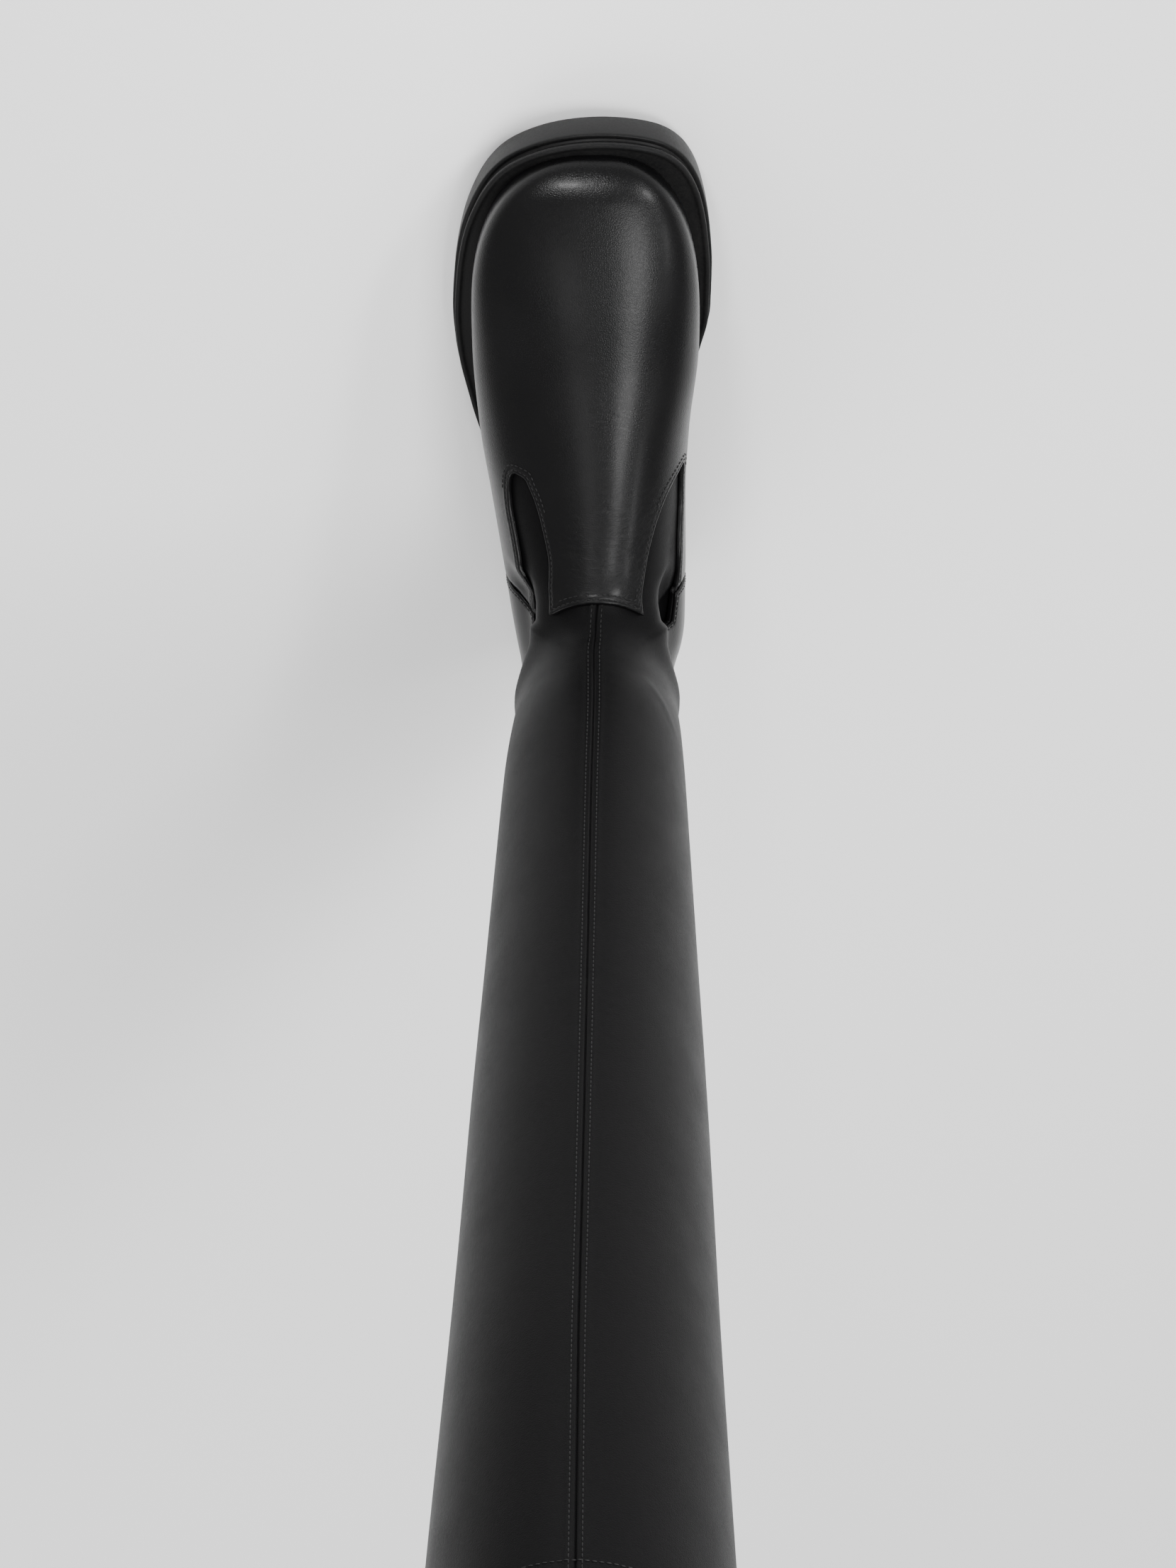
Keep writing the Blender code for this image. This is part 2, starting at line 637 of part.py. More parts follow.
def build_layer(name, inset, below, thickness, corner, parts):
    """A layer of the sole's edge: its underside lies below under the feather line."""
    shares = outline_shares(0.0, 1.0, SOLE_STATIONS)
    levels = ((inset + corner, 0.0), (inset, 0.3), (inset, 0.7), (inset + corner, 1.0))
    rings = [sole_ring(shares, edge, lambda y, up=up: feather_height(y) - below + up * thickness)
             for edge, up in levels]
    return place(name, layered_solid(rings), parts, RUBBER)


def build_insole(parts):
    y = last_y(outline_shares(0.0, 1.0, 25))
    loop = inset_loop(y, feather_half_width(y, 1), feather_half_width(y, 2), INSOLE_MARGIN)
    floor = feather_height(loop[:, 1]) + GAP
    rings = [np.column_stack([loop, floor]), np.column_stack([loop, floor + INSOLE_THICKNESS])]
    return place("insole", layered_solid(rings), parts, BOARD)


def build_upper(parts, cutters):
    upper = place("upper", lofted(station_rows(0, UPPER_TOP_ROW)), parts, LEATHER)
    thicken(upper, UPPER_WALL)
    for name in ("welt_trim_cut", "top_line_cut", "lateral_cutout_cut", "medial_cutout_cut"):
        cut(upper, cutters.objects[name])
    return upper


def build_counter(parts, cutters):
    mesh = lofted(station_rows(COUNTER_START_ROW, UPPER_TOP_ROW))
    shift_along_normals(mesh, lambda point: GAP)
    counter = place("counter", mesh, parts, LEATHER)
    thicken(counter, COUNTER_WALL, outward=True)
    for name in ("counter_front_cut", "welt_trim_cut", "top_line_cut", "lateral_cutout_cut",
                 "medial_cutout_cut"):
        cut(counter, cutters.objects[name])
    return counter


def build_shaft(parts, cutters):
    mesh = lofted(station_rows(SOCK_START_ROW, LAST_ROW))
    shift_along_normals(mesh, shaft_offset)
    shaft = place("shaft", mesh, parts, LEATHER)
    thicken(shaft, SHAFT_WALL)
    cut(shaft, cutters.objects["sock_trim_cut"])
    return shaft


def below_outline(lift):
    """Everything lower than lift above the feather line."""
    y = last_y(np.linspace(-0.08, 1.06, 26))
    line = [(float(place_y), float(feather_height(place_y)) + lift) for place_y in y]
    return line + [(line[-1][0], -CUT_FLOOR), (line[0][0], -CUT_FLOOR)]


def build_cutters(cutters):
    for name, lift in (("welt_trim_cut", GAP), ("sock_trim_cut", SOCK_LIFT)):
        side_prism(name, below_outline(lift), -PRISM_HALF_WIDTH, PRISM_HALF_WIDTH, cutters)
    side_prism("top_line_cut", top_line_outline(), -PRISM_HALF_WIDTH, PRISM_HALF_WIDTH, cutters)
    side_prism("lateral_cutout_cut", cutout_outline(LATERAL_CUTOUT, 12),
               CUT_CLEAR_OF_MIDDLE, PRISM_HALF_WIDTH, cutters)
    side_prism("medial_cutout_cut", cutout_outline(MEDIAL_CUTOUT, 12),
               -PRISM_HALF_WIDTH, -CUT_CLEAR_OF_MIDDLE, cutters)
    side_prism("counter_front_cut", counter_front_outline(), -PRISM_HALF_WIDTH, PRISM_HALF_WIDTH, cutters)


def build():
    clear_scene()
    parts = new_collection("thigh_high_boot")
    cutters = new_collection("cutters")
    build_cutters(cutters)
    build_outsole(parts, cutters)
    build_heel(parts, cutters)
    midsole_below = WELT_THICKNESS + GAP + MIDSOLE_THICKNESS
    build_layer("midsole", MIDSOLE_INSET, midsole_below, MIDSOLE_THICKNESS, 0.0, parts)
    build_layer("welt", WELT_INSET, WELT_THICKNESS, WELT_THICKNESS, WELT_CORNER, parts)
    build_insole(parts)
    build_upper(parts, cutters)
    build_counter(parts, cutters)
    build_shaft(parts, cutters)


build()
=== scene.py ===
"""Looks of the thigh high boot, a left one: black leather upper and long shaft on a thick rubber sole.

The frame's solids give the sizes, and the form is worked out here again from the same tables, finer and with
its folds, seams and stitches. Lengths are metres. The toe points to -Y, the outer side is +X, up is +Z.
"""
import math

import bmesh
import bpy
import numpy as np
from mathutils import Matrix, Vector


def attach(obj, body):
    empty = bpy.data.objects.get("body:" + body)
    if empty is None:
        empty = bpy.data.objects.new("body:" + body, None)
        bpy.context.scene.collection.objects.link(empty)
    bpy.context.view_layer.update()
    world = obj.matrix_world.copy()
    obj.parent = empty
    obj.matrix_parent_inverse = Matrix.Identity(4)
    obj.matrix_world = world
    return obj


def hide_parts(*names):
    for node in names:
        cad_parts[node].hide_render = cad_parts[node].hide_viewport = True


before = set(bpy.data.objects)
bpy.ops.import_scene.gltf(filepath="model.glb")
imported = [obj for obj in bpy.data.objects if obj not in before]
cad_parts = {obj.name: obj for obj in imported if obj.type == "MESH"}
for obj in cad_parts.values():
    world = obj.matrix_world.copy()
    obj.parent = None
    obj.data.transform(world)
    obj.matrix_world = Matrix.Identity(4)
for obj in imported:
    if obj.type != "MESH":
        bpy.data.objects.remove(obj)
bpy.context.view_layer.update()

MM = 0.001

# Driving sizes, as in the solids
SOLE_LENGTH = 0.284
HEEL_BACK = 0.038
SOLE_HALF_WIDTH = 0.0643
LAST_LENGTH = 0.272
LAST_BACK = 0.033
BALL_HALF_WIDTH = 0.0555
FOREFOOT_HEIGHT = 0.024
HEEL_SEAT_HEIGHT = 0.042
TOE_SPRING = 0.010
TOE_SPRING_START = 0.76
INSTEP_HEIGHT = 0.128
BOOT_HEIGHT = 0.685
SHAFT_HALF_WIDTH = 0.067
SHAFT_DEPTH = 0.155
COLLAR_FRONT = -0.0785
GAP = 0.0003
UPPER_WALL = 0.0020
SHAFT_WALL = 0.0017
COUNTER_WALL = 0.0011
WELT_THICKNESS = 0.0030
MIDSOLE_THICKNESS = 0.0034
HEEL_BLOCK_HEIGHT = 0.0235
WALL_DRAFT = 0.0012
EDGE_ROUND = 0.0012
HEEL_INSET = 0.0016
BREAST_SLOPE = 0.0040
HEEL_BREAST_SHARE = 0.272
TOE_LENGTH_LATERAL = 0.076
TOE_LENGTH_MEDIAL = 0.081
TOE_BOX_LENGTH = 0.0150
TOE_POWER = 2.5
TOE_BOX_POWER = 2.6
TOE_BOX_LAST_ROW = 3.2
HEEL_ROUND_LENGTH = 0.034
HEEL_ROUND_POWER = 2.3
RIDGE_FADE = 0.040
COUNTER_START_ROW = 3.9
SOCK_START_ROW = 3.3
SOCK_LIFT = 0.009
UPPER_TOP_ROW = 10.5
FOLD_HEIGHT = 0.1000
FOLD_REACH = 0.0105
FOLD_DEPTH = 0.0055
FOLD_FRONT = -0.060
FOLD_FADE = 0.008
ROLL_HEIGHT = 0.116
ROLL_REACH = 0.010
ROLL_RISE = 0.0023
SEAT_RAMP = 0.0035
SEAT_TOP_FADE = 0.010
NECK_CLEARANCE = 0.0020
EMERGE_TURN = -0.052
EMERGE_SIDE_LOW = 0.1045
EMERGE_SIDE_HIGH = 0.1140
EMERGE_FRONT_LOW = 0.1290
EMERGE_FRONT_HIGH = 0.1520
CUT_CEILING = 0.220
CUT_CLEAR_OF_MIDDLE = 0.006
GROOVE_WIDTH = 0.0030
GROOVE_DEPTH = 0.0022
GROOVE_MARGIN = 0.011
FOREFOOT_GROOVES = (0.60, 0.645, 0.735, 0.78)
HEEL_GROOVES = (0.06, 0.20)

SOLE_OUTLINE = (
    # share of the length from the heel's back, lateral and medial half width
    (0.00, 0.00, 0.00), (0.03, 0.35, 0.34), (0.10, 0.55, 0.53), (0.20, 0.61, 0.56), (0.30, 0.68, 0.57),
    (0.40, 0.765, 0.575), (0.50, 0.893, 0.590), (0.60, 0.983, 0.717), (0.66, 1.00, 0.772),
    (0.74, 0.980, 0.778), (0.80, 0.942, 0.762), (0.88, 0.830, 0.709), (0.94, 0.668, 0.612),
    (0.98, 0.410, 0.444), (1.00, -0.026, 0.026),
)
SOLE_PROFILE = (
    # share of the length, drop left at the feather line, underside
    (0.00, 1.00, 1.00), (0.10, 1.00, 1.00), (0.22, 0.90, 1.00), (0.29, 0.77, 1.00), (0.36, 0.56, 0.82),
    (0.43, 0.36, 0.42), (0.50, 0.18, 0.10), (0.55, 0.08, 0.00), (0.66, 0.00, 0.00), (1.00, 0.00, 0.00),
)
FEATHER_OUTLINE = (
    # share of the last, lateral and medial half width
    (0.00, 0.65, 0.63), (0.12, 0.63, 0.61), (0.25, 0.71, 0.57), (0.38, 0.81, 0.57), (0.53, 0.90, 0.67),
    (0.72, 0.96, 0.757), (1.00, 0.96, 0.757),
)
FOOT_SECTIONS = (
    # foot, top, height, lateral, medial, girth, round, ridge
    (1.000, 1.000, 0.342, 1.000, 0.798, 0.44, 2.40, -0.05),
    (0.908, 0.908, 0.437, 1.000, 0.798, 0.44, 2.35, -0.05),
    (0.801, 0.805, 0.526, 1.000, 0.798, 0.42, 2.25, -0.07),
    (0.673, 0.680, 0.622, 0.995, 0.796, 0.38, 2.12, -0.08),
    (0.533, 0.555, 0.753, 0.946, 0.728, 0.35, 2.06, -0.07),
    (0.408, 0.463, 0.868, 0.856, 0.700, 0.35, 2.02, -0.04),
    (0.268, 0.393, 0.968, 0.766, 0.706, 0.36, 1.98, 0.00),
    (0.103, 0.366, 1.047, 0.688, 0.704, 0.38, 1.93, 0.02),
)
ANKLE_SECTIONS = (
    # back height, back, front height, front, lateral, medial, girth, round, ridge
    (0.327, 0.722, 1.108, 0.097, 0.525, 0.540, 0.41, 1.90, 0.02),
    (0.514, 0.748, 1.167, 0.106, 0.515, 0.508, 0.46, 1.85, 0.03),
    (0.765, 0.735, 1.226, 0.113, 0.536, 0.520, 0.50, 1.80, 0.03),
    (1.017, 0.716, 1.295, 0.116, 0.568, 0.542, 0.50, 1.90, 0.03),
    (1.311, 0.729, 1.407, 0.116, 0.606, 0.561, 0.50, 2.00, 0.03),
)
SHAFT_SECTIONS = (
    # height, back, front, lateral, medial, ridge
    (0.336, 0.787, 0.116, 0.657, 0.590, 0.045),
    (0.438, 0.865, 0.110, 0.716, 0.625, 0.060),
    (0.540, 0.897, 0.100, 0.773, 0.657, 0.075),
    (0.642, 0.877, 0.081, 0.815, 0.678, 0.090),
    (0.737, 0.877, 0.058, 0.860, 0.696, 0.105),
    (0.825, 0.910, 0.035, 0.910, 0.721, 0.120),
    (0.912, 0.961, 0.016, 0.961, 0.749, 0.127),
    (1.000, 1.000, 0.000, 1.000, 0.776, 0.134),
)
SHAFT_GIRTH = 0.50
SHAFT_POWER = 2.00
CROWN_SHARPNESS = 0.25
SIDE_POWER_FOOT = 2.0
SIDE_POWER_ANKLE = 2.4
SIDE_POWER_ROW = 8.3
SIDE_POWER_ROWS = 1.8
FOOT_SIDE_FADE_ROWS = (6.0, 8.0)
LATERAL_CUTOUT = (
    # share of the last, lower edge, upper edge
    (0.523, 0.672, 0.690), (0.513, 0.660, 0.716), (0.496, 0.664, 0.746), (0.459, 0.686, 0.802),
    (0.416, 0.732, 0.863), (0.375, 0.772, 0.912), (0.347, 0.784, 0.958), (0.287, 0.780, 1.040),
)
MEDIAL_CUTOUT = (
    (0.503, 0.550, 0.568), (0.497, 0.543, 0.652), (0.469, 0.556, 0.747), (0.430, 0.582, 0.826),
    (0.393, 0.630, 0.886), (0.355, 0.668, 0.954), (0.319, 0.684, 1.000), (0.240, 0.722, 1.020),
)
TOP_LINE = ((0.489, 1.087), (0.346, 0.972), (0.290, 0.782), (0.158, 0.788), (-0.06, 0.796))
COUNTER_EDGE = ((0.265, 1.000), (0.277, 0.762), (0.292, 0.690), (0.286, 0.600), (0.255, 0.130))

# Finer than the solids: columns at set distances from the front ridge, then even ones
SEAM_COLUMNS = tuple(v * MM for v in (0.0, 0.35, 0.75, 1.25, 1.8, 2.4, 3.0, 3.7, 4.8, 6.2))
UPPER_COLUMNS = 62
SHAFT_COLUMNS = 46
TOE_ROWS = 0.9
FOOT_ROWS = 12
COLLAR_STEPS = (0.055, 0.03, 0.012, 0.0)
STITCH_EDGE = 0.0019
STITCH_SECOND = 0.0041
STITCH_ROLL = 0.0030
CHANNEL_REACH = 0.00045
LIP_RADIUS = 0.0011
COUNTER_LIP_RADIUS = 0.0009
COLLAR_LIP_RADIUS = 0.0014
COLLAR_STITCHES = 0.006
SEAM_GROOVE = 0.0004
SEAM_BAND = 0.00035
SEAM_STITCHES_START = 0.119
JUNCTION_HEIGHT = 0.3600
PUCKER_PITCH = 0.0062
UPPER_EDGE_LEVELS = (0.0, 0.00025, 0.0006, LIP_RADIUS, 0.0015, STITCH_EDGE, 0.0023, STITCH_ROLL,
                     STITCH_SECOND, 0.0050)
COUNTER_EDGE_LEVELS = (0.0, 0.00022, 0.0005, COUNTER_LIP_RADIUS, 0.0015, STITCH_EDGE, 0.0023, STITCH_ROLL)


# Curves and tables

def smooth(x, columns, column):
    """Monotone cubic through a table's first column and the given one."""
    xs = np.array([row[0] for row in columns], float)
    ys = np.array([row[column] for row in columns], float)
    steps = np.diff(xs)
    slopes = np.diff(ys) / steps
    tangents = np.concatenate([[slopes[0]], np.zeros(len(xs) - 2), [slopes[-1]]])
    for i in range(1, len(xs) - 1):
        if slopes[i - 1] * slopes[i] > 0:
            left, right = 2 * steps[i] + steps[i - 1], steps[i] + 2 * steps[i - 1]
            tangents[i] = (left + right) / (left / slopes[i - 1] + right / slopes[i])
    x = np.clip(x, xs[0], xs[-1])
    i = np.clip(np.searchsorted(xs, x, side="right") - 1, 0, len(xs) - 2)
    t = (x - xs[i]) / steps[i]
    start = (2 * t**3 - 3 * t**2 + 1) * ys[i] + (t**3 - 2 * t**2 + t) * steps[i] * tangents[i]
    end = (3 * t**2 - 2 * t**3) * ys[i + 1] + (t**3 - t**2) * steps[i] * tangents[i + 1]
    return start + end


def ease(x, low, high):
    """0 below low, 1 above high, smooth between."""
    t = np.clip((x - low) / (high - low), 0, 1)
    return t * t * (3 - 2 * t)


def bell(x, reach):
    return np.exp(-(np.asarray(x) / reach) ** 2)


def round_end(distance, length, power):
    """Superellipse that grows from 0 at the end to 1 at length from it."""
    left = np.clip(1 - distance / length, 0, 1)
    return (1 - left**power) ** (1 / power)


def last_y(share):
    return LAST_BACK - share * LAST_LENGTH


def sole_share(y):
    return np.clip((HEEL_BACK - np.asarray(y, float)) / SOLE_LENGTH, 0, 1)


def toe_spring(share):
    return TOE_SPRING * np.clip((share - TOE_SPRING_START) / (1 - TOE_SPRING_START), 0, 1) ** 2


def feather_height(y):
    share = sole_share(y)
    drop = smooth(share, SOLE_PROFILE, 1) * (HEEL_SEAT_HEIGHT - FOREFOOT_HEIGHT)
    return FOREFOOT_HEIGHT + drop + toe_spring(share)


def underside_height(y):
    share = sole_share(y)
    return (HEEL_BLOCK_HEIGHT + GAP) * smooth(share, SOLE_PROFILE, 2) + toe_spring(share)


def outline_side(shares, column):
    angle = [(math.acos(1 - 2 * row[0]), row[column]) for row in SOLE_OUTLINE]
    return SOLE_HALF_WIDTH * smooth(np.arccos(1 - 2 * np.asarray(shares)), angle, 1)


def inset_loop(y, lateral, medial, inset):
    """One closed outline, out along the lateral side and back along the medial one, drawn in by inset."""
    loop = np.concatenate([np.stack([lateral, y], 1), np.stack([-medial, y], 1)[::-1]])
    ahead, behind = np.roll(loop, -1, 0), np.roll(loop, 1, 0)
    for side, step in ((ahead, -2), (behind, 2)):
        twin = np.linalg.norm(side - loop, axis=1) < 1e-6
        side[twin] = np.roll(loop, step, 0)[twin]
    along = (ahead - behind) / np.linalg.norm(ahead - behind, axis=1, keepdims=True)
    return loop + np.stack([along[:, 1], -along[:, 0]], 1) * inset


def sole_ring(shares, inset, height):
    """The sole's outline drawn in by inset, at the height that its height function gives at each point."""
    y = HEEL_BACK - shares * SOLE_LENGTH
    loop = inset_loop(y, outline_side(shares, 1), outline_side(shares, 2), inset)
    return np.column_stack([loop, height(loop[:, 1])])


def outline_shares(first, last, count):
    low, high = math.acos(1 - 2 * first), math.acos(1 - 2 * last)
    return (1 - np.cos(np.linspace(low, high, count))) / 2


def feather_half_width(y, column):
    y = np.asarray(y, float)
    length = TOE_LENGTH_LATERAL if column == 1 else TOE_LENGTH_MEDIAL
    ends = round_end(y - last_y(1.0), length, TOE_POWER)
    ends = ends * round_end(LAST_BACK - y, HEEL_ROUND_LENGTH, HEEL_ROUND_POWER)
    return BALL_HALF_WIDTH * smooth((LAST_BACK - y) / LAST_LENGTH, FEATHER_OUTLINE, column) * ends


# Form of the boot, section by section

def section_rows():
    """All three tables in metres, one row after the other, in the order of COLUMN."""
    rows = []
    for foot, top, height, lateral, medial, girth, power, ridge in FOOT_SECTIONS:
        rows.append((len(rows), last_y(foot), float(feather_height(last_y(foot))), last_y(top),
                     height * INSTEP_HEIGHT, lateral * BALL_HALF_WIDTH, medial * BALL_HALF_WIDTH,
                     girth, power, ridge * BALL_HALF_WIDTH))
    for back_z, back, front_z, front, lateral, medial, girth, power, ridge in ANKLE_SECTIONS:
        rows.append((len(rows), COLLAR_FRONT + back * SHAFT_DEPTH, back_z * INSTEP_HEIGHT,
                     COLLAR_FRONT + front * SHAFT_DEPTH, front_z * INSTEP_HEIGHT,
                     lateral * SHAFT_HALF_WIDTH, medial * SHAFT_HALF_WIDTH,
                     girth, power, ridge * SHAFT_HALF_WIDTH))
    for level, back, front, lateral, medial, ridge in SHAFT_SECTIONS:
        rows.append((len(rows), COLLAR_FRONT + back * SHAFT_DEPTH, level * BOOT_HEIGHT,
                     COLLAR_FRONT + front * SHAFT_DEPTH, level * BOOT_HEIGHT,
                     lateral * SHAFT_HALF_WIDTH, medial * SHAFT_HALF_WIDTH,
                     SHAFT_GIRTH, SHAFT_POWER, ridge * SHAFT_HALF_WIDTH))
    return rows


ROWS = section_rows()
ANKLE_ROW = len(FOOT_SECTIONS)
LAST_ROW = len(ROWS) - 1
COLUMN = {name: i for i, name in enumerate(
    ("row", "back_y", "back_z", "front_y", "front_z", "lateral", "medial", "girth", "power", "ridge"))}


def row_value(row, name):
    return float(smooth(row, ROWS, COLUMN[name]))


def crown_powers(power):
    """Powers of the two axes for a superellipse's quarter whose top is rounded off instead of ridged."""
    across = 1 + CROWN_SHARPNESS * (2 / power - 1)
    middle = 2 ** (-1 / (power * across))
    return across, -math.log(2) / (power * math.log(math.sqrt(1 - middle**2)))


def section(row, steps):
    """Points from the lateral feather line over the front ridge to the medial one."""
    back = np.array([row_value(row, "back_y"), row_value(row, "back_z")])
    front = np.array([row_value(row, "front_y"), row_value(row, "front_z")])
    in_foot = row < ANKLE_ROW
    if in_foot:
        back[1] = feather_height(back[0])
    from_tip = max(back[0] - last_y(1.0), 0.0)
    rise = front - back
    if row < TOE_BOX_LAST_ROW:
        rise = rise * round_end(from_tip, TOE_BOX_LENGTH, TOE_BOX_POWER)
    height = np.linalg.norm(rise)
    along = rise / max(height, 1e-9)
    ankle = math.exp(-((row - SIDE_POWER_ROW) / SIDE_POWER_ROWS) ** 2)
    low_power = SIDE_POWER_FOOT + (SIDE_POWER_ANKLE - SIDE_POWER_FOOT) * ankle
    turn = np.linspace(0, math.pi / 2, steps + 1)
    sides = []
    for sign, name, length in ((1, "lateral", TOE_LENGTH_LATERAL), (-1, "medial", TOE_LENGTH_MEDIAL)):
        width = row_value(row, name)
        foot = 0.0
        if in_foot:
            width *= float(round_end(from_tip, length, TOE_POWER))
            foot = min(float(feather_half_width(back[0], 1 if sign > 0 else 2)), width)
        girth = row_value(row, "girth")
        power = row_value(row, "power")
        ridge = row_value(row, "ridge") * sign * min(1.0, from_tip / RIDGE_FADE)
        low = 1 - np.cos(turn) ** (2 / low_power)
        blend = 1 - ease(row, *FOOT_SIDE_FADE_ROWS)
        bulge = blend * np.sin(low * math.pi / 2) + (1 - blend) * np.sin(turn) ** (2 / low_power)
        crown, crown_rise = crown_powers(power)
        x = np.concatenate([foot + (width - foot) * bulge,
                            ridge + (width - ridge) * np.cos(turn[1:]) ** crown])
        h = np.concatenate([girth * height * low,
                            height * (girth + (1 - girth) * np.sin(turn[1:]) ** crown_rise)])
        sides.append(np.column_stack([sign * x, back[0] + along[0] * h, back[1] + along[1] * h]))
    return np.concatenate([sides[0], sides[1][::-1][1:]])


def spaced(line, even):
    """A side of a section, from the ridge down, set out again by its length: seam columns, then even ones."""
    length = np.concatenate([[0], np.cumsum(np.linalg.norm(np.diff(line, axis=0), axis=1))])
    near = np.array(SEAM_COLUMNS) * min(1.0, length[-1] / 0.03)
    at = np.concatenate([near, np.linspace(near[-1], length[-1], even + 1)[1:]])
    return np.column_stack([np.interp(at, length, line[:, k]) for k in range(3)]), at


def form_grid(rows, even):
    """Rows of points over the form, each with its distance from the front ridge, negative if medial."""
    grid, across = [], []
    for row in rows:
        fine = section(row, 110)
        half = len(fine) // 2
        lateral, out = spaced(fine[half::-1], even)
        medial, back = spaced(fine[half:], even)
        grid.append(np.concatenate([lateral[::-1], medial[1:]]))
        across.append(np.concatenate([out[::-1], -back[1:]]))
    return np.array(grid), np.array(across)


def soften(grid, rows):
    """Even out the joints of the tables along the boot, more on the long shaft than on the foot."""
    rows = np.asarray(rows)
    weight = ease(rows, 1.2, 2.4) * (0.25 + 0.75 * ease(rows, 10.5, 13.0))
    weight[0] = weight[-1] = 0
    steps = np.diff(rows)
    for _ in range(40):
        ahead, behind = grid[2:] - grid[1:-1], grid[:-2] - grid[1:-1]
        pull = (ahead / steps[1:, None, None] + behind / steps[:-1, None, None]) \
            / (1 / steps[1:] + 1 / steps[:-1])[:, None, None]
        grid[1:-1] += 0.5 * weight[1:-1, None, None] * pull
    return grid


class Skin:
    """A sheet of triangles: points, faces and named values on the points."""

    def __init__(self, grid, marks):
        rows, columns = grid.shape[:2]
        number = np.arange(rows * columns).reshape(rows, columns)
        shut = np.linalg.norm(grid[:, 0] - grid[:, -1], axis=1) < 1e-4
        number[shut, -1] = number[shut, 0]
        if np.ptp(grid[0], axis=0).max() < 1e-4:
            number[0] = number[0, 0]
        a, b, c, d = number[:-1, :-1], number[:-1, 1:], number[1:, 1:], number[1:, :-1]
        faces = np.concatenate([np.stack([a, b, c], 2).reshape(-1, 3), np.stack([a, c, d], 2).reshape(-1, 3)])
        keep = (faces[:, 0] != faces[:, 1]) & (faces[:, 1] != faces[:, 2]) & (faces[:, 2] != faces[:, 0])
        self.points = grid.reshape(-1, 3).copy()
        self.faces = faces[keep]
        self.marks = {name: np.asarray(value, float).reshape(-1).copy() for name, value in marks.items()}
        self.tidy()
        widest = self.points[self.faces].mean(1)[:, 0].argmax()
        p, q, r = self.points[self.faces[widest]]
        if np.cross(q - p, r - p)[0] < 0:
            self.faces = self.faces[:, ::-1]

    def tidy(self):
        """Drop the points that no face uses."""
        used, faces = np.unique(self.faces, return_inverse=True)
        self.points = self.points[used]
        self.faces = faces.reshape(-1, 3)
        self.marks = {name: value[used] for name, value in self.marks.items()}

    def normals(self):
        p, q, r = (self.points[self.faces[:, k]] for k in range(3))
        across = np.cross(q - p, r - p)
        out = np.zeros_like(self.points)
        for k in range(3):
            np.add.at(out, self.faces[:, k], across)
        return out / np.maximum(np.linalg.norm(out, axis=1, keepdims=True), 1e-12)

    def split_along(self, name, level, snap=6e-5):
        """Cut the triangles along the line where a named value equals level."""
        value = self.marks[name] - level
        near = np.abs(value) < snap
        value[near] = 0.0
        self.marks[name][near] = level
        start, end = self.faces, np.roll(self.faces, -1, 1)
        crosses = value[start] * value[end] < 0
        low, high = np.minimum(start, end)[crosses], np.maximum(start, end)[crosses]
        keys, which = np.unique(low * len(value) + high, return_inverse=True)
        low, high = keys // len(value), keys % len(value)
        share = value[low] / (value[low] - value[high])
        middle = np.full(self.faces.shape, -1)
        middle[crosses] = len(value) + which
        self.points = np.concatenate([self.points, self.points[low] + share[:, None]
                                      * (self.points[high] - self.points[low])])
        for key, old in self.marks.items():
            new = old[low] + share * (old[high] - old[low])
            if key == name:
                new[:] = level
            self.marks[key] = np.concatenate([old, new])
        count = crosses.sum(1)
        faces = [self.faces[count == 0]]
        for k in range(3):
            a, b, c = (self.faces[:, (k + j) % 3] for j in range(3))
            one = (count == 1) & crosses[:, k]
            m = middle[one, k]
            faces += [np.stack([a[one], m, c[one]], 1), np.stack([m, b[one], c[one]], 1)]
            two = (count == 2) & ~crosses[:, k]
            m, n = middle[two, (k + 1) % 3], middle[two, (k + 2) % 3]
            faces += [np.stack([c[two], n, m], 1), np.stack([a[two], b[two], m], 1),
                      np.stack([a[two], m, n], 1)]
        self.faces = np.concatenate(faces)

    def keep_above(self, name, level):
        self.faces = self.faces[self.marks[name][self.faces].max(1) > level + 1e-9]
        self.tidy()

    def lines_at(self, name, level):
        """Runs of point numbers along the line where a named value equals level."""
        on = np.abs(self.marks[name] - level) < 1e-9
        start, end = self.faces, np.roll(self.faces, -1, 1)
        both = on[start] & on[end]
        return chained({tuple(sorted(pair)) for pair in zip(start[both].tolist(), end[both].tolist())})


def chained(pairs):
    """Join pairs of point numbers into runs."""
    near = {}
    for a, b in sorted(pairs):
        near.setdefault(a, []).append(b)
        near.setdefault(b, []).append(a)
    done, runs = set(), []
    for start in sorted(near, key=lambda p: (len(near[p]) == 2, p)):
        run = [start]
        while True:
            here = run[-1]
            ahead = [p for p in near[here] if (min(here, p), max(here, p)) not in done]
            if not ahead or (len(run) > 1 and len(near[here]) != 2):
                break
            done.add((min(here, ahead[0]), max(here, ahead[0])))
            run.append(ahead[0])
        if len(run) > 2:
            runs.append(run)
    return runs


